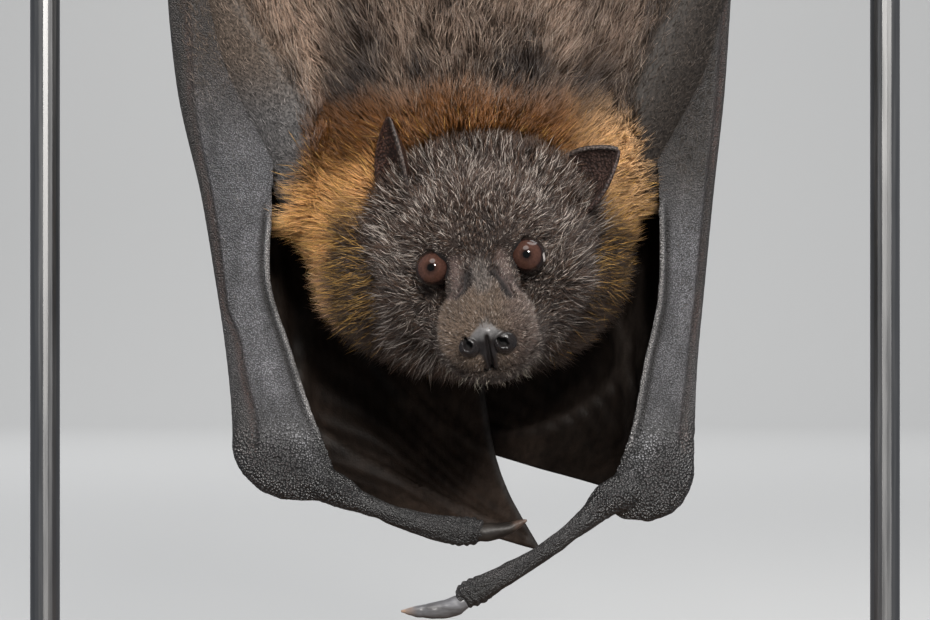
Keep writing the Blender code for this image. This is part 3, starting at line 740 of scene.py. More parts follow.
def head_skin_colour(points, folds):
    """Colour of the skin of the head, and how wet it is."""
    local = in_head(points)
    x, y, z = local.T
    black = np.array([0.010, 0.008, 0.008])
    nose = np.array([0.012, 0.010, 0.010])
    bulb, middle, hole = nostril_bulb(local), nose_middle(local), nostril_hole(local)
    # The pale top stops short of a narrow middle line, which keeps the groove down to the lip dark:
    # painted shade.
    top = ramp(z, -6.8, -4.0) * (1 - ramp(np.abs(x), 1.1, 0.3) * ramp(z, -3.4, -4.8))
    mouth = ramp(np.abs(above_mouth(local)), 1.0, 0.4) * ramp(y, -14, -19)
    margin = ramp(past_lids(points), 0.8, 0.4)
    colour = layered(
        head_colour(local) * SKIN_SHARE,
        ((0.070, 0.048, 0.044), 0.75 * corner_skin(local)),
        # Painted shade: black in the grooves past the eyes' inner corners.
        (black, 0.95 * ramp(folds, 2.6, 1.0)),
        (mixed(nose, (0.092, 0.088, 0.088), top), middle),
        (nose, bulb),
        # Painted shade: the nostrils' holes are painted near black.
        (black * 0.2, hole),
        (black, mouth),
        (black * 0.7, margin),
        ((0.20, 0.165, 0.155), 0.75 * lower_rims(points)),
    )
    tops = 0.85 * middle * ramp(z, -1.6, -3.4)
    return colour, np.max([0.9 * bulb, tops, 0.6 * mouth, 0.1 * margin], axis=0) * (1 - hole)


def make_head(material):
    shapes = [head_tube(MUZZLE), head_tube(JAW)]
    shapes += [head_ball(place, radii) for place, radii in (FOREHEAD, FACE, CROWN, THROAT)]
    for (x, y, z), radii in (BROW, CHEEK):
        shapes += [head_ball((sign * x, y, z), radii) for sign in SIDES.values()]
    head = fused("skin_head", shapes, voxel=1.0, smoothing=22)

    def face(points):
        local = in_head(points)
        folds = near_path(local, *CORNER_FOLDS)
        return (local[:, 1] < -16) | (near_eyes(points) < 11) | (folds < 4)

    def fine(points):
        local = in_head(points)
        nose = (local[:, 1] < -23) & (local[:, 2] < 1) & (np.abs(local[:, 0]) < 13)
        folds = near_path(local, *CORNER_FOLDS)
        return nose | (near_eyes(points) < 8.5) | (folds < 2.2)

    finer(head, face)
    finer(head, fine)
    softened(head, 6)
    points, normal = places(head), normals(head)
    points -= normal * coat_depth_head(in_head(points))[:, None]
    moved(head, points)
    local = in_head(points)
    folds = near_path(local, *CORNER_FOLDS)
    lift = nose_shape(local) + (-1.6 * bell(folds, 0, 1.15) + 0.25 * bell(folds, 2.8, 1.2))
    points += normals(head) * lift[:, None]
    for side in SIDES:
        points = lids(points, side)
    moved(head, points)
    colours, wet = head_skin_colour(points, folds)
    return painted(head, colours, material, wet)


def ear_surface(side):
    root, tip, hollow, half, _ = (np.array(part, float) for part in EAR[side])
    axis = tip - root
    hollow -= axis * (hollow @ axis) / (axis @ axis)
    hollow = unit(hollow)
    across = np.cross(axis, hollow) / np.linalg.norm(axis)

    def surface(u, v):
        wide = half * (math.sin(math.pi * (0.32 + 0.68 * v)) ** 0.8 + 0.03)
        turn = (u - 0.5) * 2.3
        curl = wide * (math.cos(turn) - 0.7)
        return root + axis * v + across * wide * math.sin(turn) - hollow * curl

    return surface


def make_ear(side, material):
    def thickness(grid):
        u = np.linspace(0, 1, grid.shape[1])[None, :]
        edge = np.minimum(u, 1 - u)
        return EAR_THICK * (0.75 + 0.5 * bell(edge, 0, 0.05)) * np.ones(grid.shape[:2])

    ear = sheet("skin_ear_" + side, ear_surface(side), EAR_GRID, EAR_GRID, thickness)
    points = places(ear)
    across = np.tile(np.linspace(0, 1, EAR_GRID), 2 * EAR_GRID)
    # A pale rim along one edge of each ear: a painted highlight where the edge catches the light.
    rim = 0.7 * ramp(1 - across if side == "right" else across, 0.05, 0.01)
    skin = np.array(EAR[side][-1]) * (0.7 + 0.6 * noise(points, 2.5))[:, None]
    return painted(ear, mixed(skin, (0.065, 0.052, 0.045), rim), material)


# Body, arms and wings


def mirrored(rows, side):
    return [(SIDES[side] * row[0], *row[1:]) for row in rows]


def arm_share(points, soft=4):
    """1 where the short fine hair of the arms begins, 0 on the long coat of the back and collar."""
    x, y, z = points.T
    heights = [165, 182, 205, 214, 224, 234, 244, 280]
    right = np.interp(z, heights, [-60, -47, -44, -46, -52, -60, -66, -78])
    left = np.interp(z, heights, [66, 52.5, 49, 47, 50, 54, 60, 72])
    return np.maximum(ramp(x, right + soft, right - soft), ramp(x, left - soft, left + soft))


def coat_depth_body(points):
    z, arms = points[:, 2], arm_share(points)
    depth = 6.5 * ramp(z, 345, 325) + 2.6 * ramp(z, 325, 345)
    depth = depth * ramp(z, 420, 395) + 0.5 * ramp(z, 395, 420)
    return depth * (1 - arms) + 1.2 * arms


def back_tone(points):
    """0 on the darkest locks of the back and 1 on the palest."""
    x, y, z = points.T
    tone = 1.2 * noise(points, (5.0, 8.0, 15.0), 3.3) * noise(points, (14.0, 14.0, 30.0), 9.1)
    tone += 0.15
    front = ramp(y, 12, -8)
    for middle, height, wide, tall, strength in BACK_LOCKS:
        tone += strength * front * bell(x, middle, wide) * bell(z, height, tall)
    return np.clip(tone, 0, 1)


def arm_hair_colour(points):
    x, z = points[:, 0], points[:, 2]
    grey, brown, dark = (0.115, 0.108, 0.106), (0.122, 0.091, 0.070), (0.043, 0.034, 0.028)
    return layered(grey, (brown, ramp(z, 205, 228)), (dark, ramp(x, -20, 20)))


def body_colour(points):
    """Colour of the coat on the body: rust collar, brown and taupe back, dark legs, grey arms."""
    x, y, z = points.T
    rust_deep = np.array([0.138, 0.052, 0.011])
    leg = np.array([0.060, 0.042, 0.033])
    back = mixed((0.032, 0.023, 0.019), (0.275, 0.188, 0.138), back_tone(points))
    back = back * (1 + 0.35 * ramp(x, -34, -44) * ramp(y, 12, -8))[:, None]
    rust = layered(
        (0.900, 0.480, 0.185),
        (rust_deep, ramp(z, 178, 196)),
        ((0.730, 0.440, 0.215), ramp(x, 22, 40)),
        ((0.27, 0.195, 0.165), 0.85 * ramp(x, 22, 34) * ramp(z, 168, 150)),
        ((1.0, 0.60, 0.37), 0.8 * ramp(x, -24, -34) * ramp(z, 170, 155)),
    )
    rust = rust * (0.65 + 0.7 * noise(points, 6.0, 5.0))[:, None]
    edge = 210 + 5 * (noise(points, 7.0, 2.0) - 0.5) - 0.12 * np.abs(x)
    belly = ramp(y, 14, 26) * ramp(z, 215, 200)
    # Dark brown behind and below the face: partly the throat's own dark fur, partly painted shade
    # under the face.
    round_face = np.hypot((x - 5.0) / 41.0, (z - 163.0) / 38.0)
    under_face = ramp(round_face, 1.06, 0.94) * ramp(y, 16, 8) * ramp(z, 190, 170)
    return layered(
        rust,
        (back, ramp(z, edge - 5, edge + 5)),
        (rust_deep * 0.8, belly * 0.6),
        ((0.055, 0.038, 0.029), under_face),
        (leg * (0.8 + 0.4 * noise(points, 8))[:, None], ramp(z, 325, 345)),
        (arm_hair_colour(points), arm_share(points) * (z < 300)),
    )


def make_body(material):
    """The trunk, neck, upper arms and legs."""
    shapes = [tube("blob", TRUNK, 60, 60)]
    shapes += [ball("blob", np.array(at), np.array(radii), np.eye(3)) for at, radii in MANTLE]
    for side in SIDES:
        shapes.append(tube("blob", mirrored(UPPER_ARM, side), 40, 32))
        shapes.append(tube("blob", mirrored(LEG, side), 50, 28))
    body = fused("skin_body", shapes, voxel=1.8, smoothing=8)
    moved(body, places(body) - normals(body) * coat_depth_body(places(body))[:, None])
    softened(body, 4)
    return painted(body, body_colour(places(body)) * SKIN_SHARE, material)


def forearm(rows, count, sides):
    """A flattened length between two edges: round outside and thin at the inner one."""
    s = (1 - np.cos(np.linspace(0, math.pi, sides // 2 + 1))) / 2
    flesh = 2.1 * np.sqrt(np.clip(s, 0, 1)) * np.clip(1 - s, 0, 1) ** 1.35
    rim = 0.9 * np.sqrt(np.clip(4 * s * (1 - s), 0, 1))
    rings = []
    for row in smooth_rows(rows, count):
        outer, chord = row[:3], row[3:6] - row[:3]
        front = np.array([0, -1.0, 0])
        front = unit(front - chord * (front @ chord) / (chord @ chord))
        rise = (row[6] * flesh * 0.62 + rim)[:, None]
        middle = outer + chord * s[:, None]
        rings.append(np.vstack([middle + front * rise, (middle - front * rise)[1:-1][::-1]]))
    return loft("blob", rings)


def edge_places(side, points):
    """How far each point lies from the forearm's outer and inner edges, level with it."""
    rows = smooth_rows(FOREARM[side], 80)
    order = np.argsort(rows[:, 2])
    outer = np.interp(points[:, 2], rows[order, 2], rows[order, 0])
    inner = np.interp(points[:, 2], rows[order, 5], rows[order, 3])
    return np.abs(points[:, 0] - outer), np.abs(points[:, 0] - inner)


def make_arm(side, material):
    shapes = [forearm(FOREARM[side], 110, 60), tube("blob", THUMB[side], 80, 32)]
    arm = fused("skin_arm_" + side, shapes, voxel=0.55, smoothing=7)
    points, normal = places(arm), normals(arm)
    z = points[:, 2]
    outer, inner = edge_places(side, points)
    front = ramp(normal[:, 1], 0.1, -0.3)
    upper = ramp(z, 104, 114)
    root, base, *_, end = [np.array(row[:3], float) for row in THUMB[side]]
    thumb = ramp((points - root) @ unit(end - root), -8, 4)
    wrist = np.maximum(ramp(z, 126, 106), thumb)
    fold = outer - np.interp(z, *ARM_FOLD[side])
    rim = ramp(z, 186, 176) * upper * (1 - thumb)
    along = unit(end - base)
    out = (points - base) @ along
    slim = ramp(out, 2, 14) * thumb
    across = unit(np.cross(along, [0.0, 1.0, 0.0]))
    local = np.column_stack([points @ across, points @ np.cross(across, along), out])
    crease = out + 1.6 * (noise(points, 2.4, 7) - 0.5)
    folds = np.sin(crease * 2 * math.pi / 2.1) * ramp((end - base) @ along - out, 11, 5)

    lift = -0.75 * bell(fold, 0, 0.7) * front * upper
    lift += 0.50 * bell(fold, 1.8, 1.0) * front * upper
    lift -= 0.85 * bell(inner, 2.4, 0.65) * front * rim
    lift += 0.50 * bell(inner, 1.0, 0.7) * rim
    grain = (0.26 - 0.20 * slim) * (noise(points, 0.9, 4) - 0.5)
    lift += (0.40 * (noise(points, 3.2) - 0.5) + grain) * wrist
    lift += 0.60 * (noise(local, (1.2, 1.2, 9.0), 4) - 0.5) * slim
    lift += 0.25 * folds * thumb
    moved(arm, points + normal * lift[:, None])

    brown, heights, below, painted_top_light = ARM_TONES[side]
    dark = np.array([0.0185, 0.0165, 0.0165])
    black = (0.009, 0.007, 0.007)
    band = ramp(fold, 0.6, -0.8) * upper
    patchy = 0.35 + 0.65 * ramp(noise(points, (4, 4, 9), 6.3), 0.35, 0.6)
    # A pale patch on the wrist's inner side, where it faces the light: a painted highlight.
    shine = bell(inner, 6.0, 3.5) * bell(z, 111, 8.0) * front
    colours = layered(
        (0.088, 0.087, 0.094),
        (brown, 0.9 * ramp(z, *heights)),
        (dark, ramp(z, 128, 104)),
        (dark * below, thumb),
        # The strip between the outer edge and the fold: partly its own dark brown, partly painted
        # shade on the side turned from the light.
        ((0.020, 0.0145, 0.011), band * (0.62 + 0.3 * ramp(z, 146, 158))),
        ((0.050, 0.026, 0.021), 0.85 * bell(fold, -0.3, 1.3) * front * upper * patchy),
        # Painted shade: a black line in the fold's groove.
        (black, 0.7 * bell(fold, -0.1, 0.45) * front * upper),
        # Painted shade in the groove beside the inner edge.
        (black, bell(inner, 2.6, 0.95) * front * rim),
        # Painted highlight on the raised inner rim.
        ((0.24, 0.23, 0.225), 0.9 * bell(inner, 0.9, 0.6) * rim),
        # Painted highlight on the wrist's inner side.
        ((0.190, 0.190, 0.200), 0.8 * shine * noise(points, 1.6, 2.2)),
    )
    tone = 0.66 + 0.6 * noise(points, (3.5, 3.5, 16), 1.5)
    # Painted highlight: paler along the forearm's crest, a little in from the inner edge.
    tone *= 1 + 0.28 * bell(inner, 8.5, 3.0) * ramp(z, 112, 130)
    # The noise is the thumb's own mottling; the folds term paints shade in the wrinkles' troughs
    # and highlight on their crests.
    tone *= 1 + slim * (1.1 * (noise(local, (1.3, 1.3, 8.0), 9) - 0.5) + 0.4 * folds)
    # Painted light: the thumb's upward-facing side is made paler.
    tone *= 1 + painted_top_light * ramp(normal[:, 2], 0.0, 0.8) * slim
    painted(arm, colours * tone[:, None], material, wrist * (1 - 0.55 * slim))
    return thinned(arm, 0.42)


def make_hand_wing(side, material):
    bones = []

    def pleated(u, v):
        row = row_at(HAND_WING[side], v)
        point = row[:3] + (row[3:6] - row[:3]) * u
        point[1] += row[6] * 4 * u * (1 - u)
        point[0] += SIDES[side] * 0.45 * row[6] * math.sin(math.pi * min(1.0, 2 * u)) * (1 - u)
        turns = PLEATS * (v + PLEAT_SLANT[side] * u) + 0.5 * math.sin(9 * u)
        wave = math.sin(2 * math.pi * turns)
        point[1] += 0.30 * wave * min(1, 12 * u * (1 - u)) * min(1.0, 12 * v)
        return point

    def thickness(grid):
        flat = grid.reshape(-1, 3)
        ridge = np.zeros(len(flat))
        for path, radii in FINGERS.values():
            steps = smooth_rows(path, FINGER_STEPS)
            line = np.array([pleated(*np.clip(step, 0, 1)) for step in steps])
            away = np.linalg.norm(flat[:, None] - line[None], axis=2)
            radius = np.linspace(*radii, len(line))[away.argmin(axis=1)]
            ridge = np.maximum(ridge, 2.0 * radius * bell(away.min(axis=1), 0, 1.6 * radius))
        bones.append(np.tile(np.clip(ridge / 2.4, 0, 1), 2))
        return (MEMBRANE_THICK + ridge).reshape(grid.shape[:2])

    wing = sheet("skin_hand_wing_" + side, pleated, WING_ACROSS, WING_ALONG, thickness)
    points = places(wing)
    tone = (0.6 + 0.8 * noise(points, (6, 6, 20), 2.5)) * (0.7 if side == "left" else 1.0)
    # Painted light: paler near the middle and low down, in the shade beneath the head.
    tone *= 1 + 1.2 * ramp(np.abs(points[:, 0]), 30, 12) * ramp(points[:, 2], 140, 120)
    edge = np.tile(np.linspace(0, 1, WING_ACROSS), 2 * WING_ALONG)
    colours = layered(
        np.array([0.0085, 0.0058, 0.0044]) * tone[:, None],
        # Painted highlight along the finger ridges.
        ((0.024, 0.019, 0.016), 0.3 * bones[0] ** 2),
        # Painted highlight along the wing's free edge.
        ((0.030, 0.028, 0.027), 0.8 * ramp(edge, 0.965, 0.99)),
    )
    return painted(wing, colours, material)


# Feet


def round_perch(angle, reach):
    turn = math.radians(angle)
    return PERCH_Y + reach * math.cos(turn), PERCH_Z + reach * math.sin(turn)


def toe_step(number):
    return (number - (TOES - 1) / 2) * TOE_SPREAD


def toe_rows(side, number):
    """A toe that rises on the near side of the perch and bends over its top."""
    foot_x, step = SIDES[side] * FOOT_X, toe_step(number)
    thick = TOE_RADIUS + 0.3
    rows = [(foot_x, -9.5, PERCH_Z - 15, 2.2, 2.2)]
    rows.append((foot_x + 0.5 * step, -9.0, PERCH_Z - 8, thick, thick))
    for count, angle in enumerate(TOE_TURNS):
        radius = TOE_RADIUS * (0.86 if count % 2 else 1.05)
        place = round_perch(angle, PERCH_RADIUS + TOE_RADIUS + 1.2)
        rows.append((foot_x + step, *place, radius, radius))
    return rows


def make_foot(side, material):
    rows = [(SIDES[side] * FOOT_X, y, PERCH_Z + z, wide, deep) for y, z, wide, deep in SOLE]
    rows.insert(0, (SIDES[side] * ANKLE_X, -8, PERCH_Z - 28, 3.4, 3.4))
    shapes = [tube("blob", rows, 24, 24)]
    for number in range(TOES):
        shapes.append(tube("toe", toe_rows(side, number), 26, 12, facing=(1, 0, 0)))
    foot = fused("skin_foot_" + side, shapes, voxel=0.7, smoothing=3)
    tone = 0.7 + 0.6 * noise(places(foot), (1.5, 1.5, 3.0))
    painted(foot, np.array([0.050, 0.042, 0.040]) * tone[:, None], material)
    return thinned(foot, 0.45)


def make_toe_claws(material):
    shapes = []
    for side in SIDES:
        for number in range(TOES):
            x = SIDES[side] * FOOT_X + toe_step(number)
            rows = [(x, *round_perch(angle, reach), size, size) for angle, size, reach in TOE_CLAW]
            shapes.append(tube("claw", rows, 16, 12, facing=(1, 0, 0)))
    claws = joined("toe_claws", shapes)
    return painted(claws, np.ones_like(places(claws)), material)


# Materials


class Look:
    """A Principled material, with short calls for its nodes."""

    def __init__(self, name, roughness, **numbers):
        self.material = bpy.data.materials.new(name)
        self.material.use_nodes = True
        self.tree = self.material.node_tree
        self.shader = self.tree.nodes["Principled BSDF"].inputs
        self.link(Roughness=roughness, **numbers)
        self.place = self.node("TexCoord", {}, "Object")

    def feed(self, socket, value):
        if isinstance(value, bpy.types.NodeSocket):
            self.tree.links.new(value, socket)
        else:
            socket.default_value = value

    def link(self, **sockets):
        """The material, with these numbers or nodes' outputs on the shader's sockets."""
        for name, value in sockets.items():
            self.feed(self.shader[name.replace("_", " ")], value)
        return self.material

    def done(self, factor, **sockets):
        """The finished material, whose colour is the mesh's own times the factor."""
        tint = self.blend(1.0, self.attribute(), factor, "MULTIPLY")
        return self.link(Base_Color=tint, **sockets)

    def node(self, kind, inputs, out=0, **settings):
        made = self.tree.nodes.new("ShaderNode" + kind)
        for name, value in settings.items():
            setattr(made, name, value)
        for socket, value in inputs.items():
            self.feed(made.inputs[socket], value)
        return made.outputs[out]

    def stretched(self, *scale):
        return self.node("Mapping", {"Vector": self.place, "Scale": scale})

    def noise(self, scale, detail, rough=0.55, vector=None):
        inputs = {"Scale": scale, "Detail": detail, "Roughness": rough}
        return self.node("TexNoise", {"Vector": vector or self.place, **inputs}, "Fac")

    def cells(self, scale):
        return self.node("TexVoronoi", {"Vector": self.place, "Scale": scale}, "Distance")

    def attribute(self, out="Color", name="tint"):
        return self.node("Attribute", {}, out, attribute_name=name)

    def range(self, value, *limits):
        """The value stretched from its low and high to the new low and high."""
        inputs = dict(zip(("From Min", "From Max", "To Min", "To Max"), limits))
        return self.node("MapRange", {"Value": value, **inputs}, "Result")

    def math(self, operation, a, b):
        return self.node("Math", {0: a, 1: b}, operation=operation)

    def between(self, share, a, b):
        return self.node("Mix", {0: share, 2: a, 3: b}, data_type="FLOAT")

    def blend(self, share, a, b, kind="MIX"):
        inputs = {"Factor": share, 6: a, 7: b}
        return self.node("Mix", inputs, 2, data_type="RGBA", blend_type=kind)

    def colours(self, value, *stops):
        """Colours through stops of (position, red, green, blue)."""
        made = self.tree.nodes.new("ShaderNodeValToRGB")
        self.feed(made.inputs["Fac"], value)
        elements = made.color_ramp.elements
        for index, (position, *colour) in ((0, stops[0]), (1, stops[-1])):
            elements[index].position = position
            elements[index].color = (*colour, 1)
        for position, *colour in stops[1:-1]:
            elements.new(position).color = (*colour, 1)
        return made.outputs["Color"]

    def bump(self, height, strength, distance, **normal):
        inputs = {"Height": height, "Strength": strength, "Distance": distance}
        return self.node("Bump", {**inputs, **normal}, "Normal")


def fur_skin_material():
    """Skin under the coat and short velvet hair."""
    t = Look("fur_skin", 0.62, Specular_IOR_Level=0.3)
    grain = t.noise(1500, 2)
    return t.done(t.range(grain, 0.35, 0.65, 0.35, 1.7), Normal=t.bump(grain, 0.5, 0.0003))


def face_skin_material():
    """Skin of the face, which shines where it is wet: the nose, the lips and the lids' edges."""
    t = Look("face_skin", 0.4, Specular_IOR_Level=0.35)
    pores = t.cells(2300)
    shine = t.range(t.attribute("Alpha"), 0.0, 1.0, 0.85, 0.2)
    normal = t.bump(pores, 0.22, 0.00015)
    return t.done(t.range(pores, 0.1, 0.7, 0.8, 1.2), Roughness=shine, Normal=normal)


def arm_skin_material():
    """Grey leathery skin with fine pale granules, which are coarser on the wrist and thumb. Their
    pale centres are partly painted glints.
    """
    t = Look("arm_skin", 0.42, Specular_IOR_Level=0.9)
    coarse = t.attribute("Alpha")
    granule = t.between(coarse, t.cells(2100), t.cells(1350))
    # The granules' pale centres are partly their own colour, partly painted glints that are
    # strongest on the coarse wrist and thumb.
    small, large = t.range(granule, 0.12, 0.55, 1.9, 0.4), t.range(granule, 0.10, 0.46, 4.4, 0.15)
    broad = t.range(t.noise(160, 4), 0.3, 0.7, 0.7, 1.3)
    glint = t.range(coarse, 0.0, 1.0, 0.34, 0.20)
    height = t.math("MULTIPLY", granule, t.range(coarse, 0.0, 1.0, -1.0, -1.25))
    wrinkle = t.noise(220, 4, 0.6, t.stretched(1.0, 1.0, 0.45))
    return t.done(
        t.math("MULTIPLY", t.between(coarse, small, large), broad),
        Roughness=t.math("ADD", glint, t.range(granule, 0.1, 0.5, 0.0, 0.34)),
        Normal=t.bump(wrinkle, 0.4, 0.0012, Normal=t.bump(height, 1.0, 0.0006)),
    )


def membrane_material():
    """Thin, dark, faintly glossy wing skin with fine creases."""
    t = Look("wing_membrane", 0.55, Specular_IOR_Level=0.09)
    crease = t.noise(420, 5, 0.6, t.stretched(1.0, 1.0, 0.3))
    return t.done(
        t.range(crease, 0.3, 0.7, 0.6, 1.5),
        Roughness=t.range(t.noise(120, 3), 0.3, 0.7, 0.46, 0.62),
        Normal=t.bump(t.cells(1600), 0.25, 0.0002, Normal=t.bump(crease, 0.3, 0.0006)),
    )


def ear_material():
    t = Look("ear_skin", 0.5, Specular_IOR_Level=0.45)
    pebble = t.cells(1300)
    normal = t.bump(t.math("MULTIPLY", pebble, -1.0), 0.7, 0.0004)
    return t.done(t.range(pebble, 0.1, 0.6, 1.9, 0.4), Normal=normal)


def claw_material(name, dark, pale, tip, roughness):
    """Streaked horn with a dull shine and a worn tip."""
    t = Look(name, roughness, Specular_IOR_Level=0.4)
    streak = t.noise(240, 4, 0.6, t.stretched(0.25, 1.0, 1.0))
    horn = t.colours(streak, (0.35, *dark), (0.68, *pale))
    worn = t.blend(t.attribute("Alpha"), horn, (*tip, 1))
    return t.link(Base_Color=worn, Normal=t.bump(streak, 0.2, 0.0003))


def coat_material():
    t = Look("coat_hair", 0.4, Specular_IOR_Level=0.5)
    return t.done(t.range(t.noise(900, 2), 0.3, 0.7, 0.8, 1.2))


def eye_material():
    """Chestnut iris, small black pupil and a clear wet surface."""
    wet = {"Coat_Weight": 1.0, "Coat_Roughness": 0.02, "Coat_IOR": 1.36}
    t = Look("eye_wet", 0.5, Specular_IOR_Level=0.0, **wet)
    pupil, iris = PUPIL_ANGLE / WHITE_ANGLE, IRIS_ANGLE / WHITE_ANGLE
    colour = t.colours(
        t.range(t.attribute("Fac", "from_gaze"), 0.0, WHITE_ANGLE, 0.0, 1.0),
        (0.0, 0.002, 0.002, 0.002),
        (pupil - 0.015, 0.002, 0.002, 0.002),
        (pupil + 0.03, 0.024, 0.0115, 0.0085),
        (pupil + 0.16, 0.054, 0.0255, 0.0185),
        (iris - 0.17, 0.046, 0.0215, 0.016),
        (iris - 0.09, 0.012, 0.006, 0.005),
        (iris + 0.03, 0.012, 0.008, 0.007),
        (0.86, 0.008, 0.006, 0.005),
        # The pale crescent of the left eye: partly white of the eye, partly a painted reflection.
        (1.0, 0.42, 0.38, 0.36),
    )
    fibre = t.range(t.noise(1800, 3), 0.3, 0.7, 0.75, 1.3)
    return t.link(Base_Color=t.blend(1.0, colour, fibre, "MULTIPLY"))


def bark_material():
    t = Look("perch_bark", 0.85, Specular_IOR_Level=0.3)
    crack = t.noise(190, 6, 0.65, t.stretched(0.22, 1.0, 1.0))
    bark = t.colours(crack, (0.36, 0.028, 0.020, 0.014), (0.66, 0.20, 0.155, 0.115))
    lichen = t.range(t.noise(55, 5), 0.58, 0.68, 0.0, 0.55)
    colour = t.blend(lichen, bark, (0.23, 0.24, 0.19, 1))
    return t.link(Base_Color=colour, Normal=t.bump(crack, 0.7, 0.0015))


def stand_wood_material():
    t = Look("base_wood", 0.38, Specular_IOR_Level=0.5)
    bands = {"Scale": 42, "Distortion": 9, "Detail": 3, "Detail Scale": 1.4}
    bands["Vector"] = t.stretched(0.06, 1.0, 1.0)
    grain = t.node("TexWave", bands, "Fac", wave_type="BANDS", bands_direction="Y")
    fine = t.noise(900, 3, 0.5, t.stretched(0.05, 1.0, 1.0))
    colour = t.blend(grain, (0.055, 0.028, 0.014, 1), (0.125, 0.068, 0.034, 1))
    return t.link(
        Base_Color=t.blend(1.0, colour, t.range(fine, 0.3, 0.7, 0.75, 1.2), "MULTIPLY"),
        Roughness=t.range(fine, 0.3, 0.7, 0.32, 0.46),
        Normal=t.bump(fine, 0.12, 0.0002),
    )


def stand_steel_material():
    t = Look("rod_steel", 0.3, Metallic=1.0)
    brush = t.noise(700, 3, 0.6, t.stretched(1.0, 1.0, 0.03))
    colour = t.blend(brush, (0.20, 0.20, 0.20, 1), (0.33, 0.33, 0.33, 1))
    return t.link(Base_Color=colour, Roughness=t.range(brush, 0.3, 0.7, 0.34, 0.50))


# Coat


def many(count):
    return count


def scattered(obj, count, weight):
    """Places and normals strewn over the object's surface, denser where weight is higher."""
    mesh = obj.data
    mesh.calc_loop_triangles()
    corners = np.empty(len(mesh.loop_triangles) * 3, np.int32)
    mesh.loop_triangles.foreach_get("vertices", corners)
    corners = corners.reshape(-1, 3)
    points, normal = places(obj), normals(obj)
    a, b, c = (points[corners[:, k]] for k in range(3))
    area = np.linalg.norm(np.cross(b - a, c - a), axis=1) / 2
    total = np.cumsum(area * weight((a + b + c) / 3))
    chosen = corners[np.searchsorted(total, RNG.random(count) * total[-1])]
    share = RNG.random((count, 2))
    share = np.where(share.sum(axis=1, keepdims=True) > 1, 1 - share, share)
    share = np.column_stack([1 - share.sum(axis=1), share])[..., None]
    return (points[chosen] * share).sum(axis=1), unit((normal[chosen] * share).sum(axis=1))


def inside_balls(points, balls):
    """Whether each point lies well inside one of the ellipsoids."""
    found = np.zeros(len(points), bool)
    for centre, radii in balls:
        found |= (((points - centre) / (np.array(radii) - BURIED)) ** 2).sum(axis=1) < 1
    return found


def stray(points, scale, amount):
    """A slow wandering of the coat's lie, so that neighbouring tufts turn together."""
    fields = [noise(points, scale, shift) - 0.5 for shift in (1.1, 5.7, 9.3)]
    return amount * 2 * np.stack(fields, axis=1)


def lifts(middle, spread, low, high, count):
    """Angles between the tufts and the skin, in degrees."""
    return np.clip(middle + spread * RNG.normal(size=count), low, high)


def laid(root, normal, flow, length, lift, sway):
    """Tips of tufts that lie along the flow, lifted off the skin, each swaying a little."""
    flow = flow + sway * RNG.normal(size=flow.shape)
    flow = unit(flow - normal * (flow * normal).sum(axis=1, keepdims=True))
    lift = np.radians(lift)[:, None]
    return root + length[:, None] * (flow * np.cos(lift) + normal * np.sin(lift))


def clumped(root, tip, every, strength):
    """Draws the tips of neighbouring tufts together into locks of about `every` tufts."""
    leaders = RNG.choice(len(root), max(2, len(root) // every), replace=False)
    tree = KDTree(len(leaders))
    for index, leader in enumerate(leaders):
        tree.insert(root[leader], index)
    tree.balance()
    nearest = leaders[np.array([tree.find(place)[1] for place in root])]
    return tip + (tip[nearest] - tip) * strength[..., None]


def shaded(colour, low, high):
    """The tufts' colours, each made brighter or darker by its own factor."""
    return colour * RNG.uniform(low, high, (len(colour), 1))


def recoloured(tint, chosen, colour, low, high):
    """The tufts' colours, with the chosen ones in shades of another colour."""
    other = shaded(np.broadcast_to(colour, tint.shape), low, high)
    return np.where(chosen[:, None], other, tint)


def round_unwrap(back, low, high):
    """An unwrap round the upright axis at y = back, from height low to high."""

    def unwrap(points):
        turn = np.arctan2(points[:, 0], points[:, 1] - back) / (2 * math.pi) + 0.5
        return np.column_stack([turn, (points[:, 2] - low) / (high - low)])

    return unwrap


def globe_unwrap(points):
    """An unwrap of the head: the turn round its long axis, and the angle from that axis."""
    local = in_head(points) - np.array([0, 8, -6])
    turn = np.arctan2(local[:, 0], local[:, 2]) / (2 * math.pi) + 0.5
    along = np.arctan2(np.hypot(local[:, 0], local[:, 2]), -local[:, 1]) / math.pi
    return np.column_stack([turn, along])


def tuft_mesh(name, points, tints, uvs):
    """A mesh of tufts, whose arrays have a row for each tuft and in it one for each vertex."""
    count = len(points)
    starts = TUFT_POINTS * np.arange(count)[:, None, None]
    corners = (TUFT_FACES[None] + starts).reshape(-1)
    mesh = bpy.data.meshes.new(name)
    mesh.vertices.add(count * TUFT_POINTS)
    mesh.vertices.foreach_set("co", (points * MM).ravel())
    mesh.loops.add(len(corners))
    mesh.loops.foreach_set("vertex_index", corners)
    mesh.polygons.add(len(corners) // 3)
    mesh.polygons.foreach_set("loop_start", np.arange(0, len(corners), 3))
    mesh.update(calc_edges=True)
    layer = mesh.color_attributes.new("tint", "FLOAT_COLOR", "POINT")
    rgba = np.concatenate([tints, np.ones((count, TUFT_POINTS, 1))], axis=2)
    layer.data.foreach_set("color", np.clip(rgba, 0, 1).ravel())
    bake = mesh.uv_layers.new(name="OFBake")
    flat = np.clip(uvs.reshape(-1, 2), 0.001, 0.999)
    bake.data.foreach_set("uv", flat[corners].ravel())
    return mesh


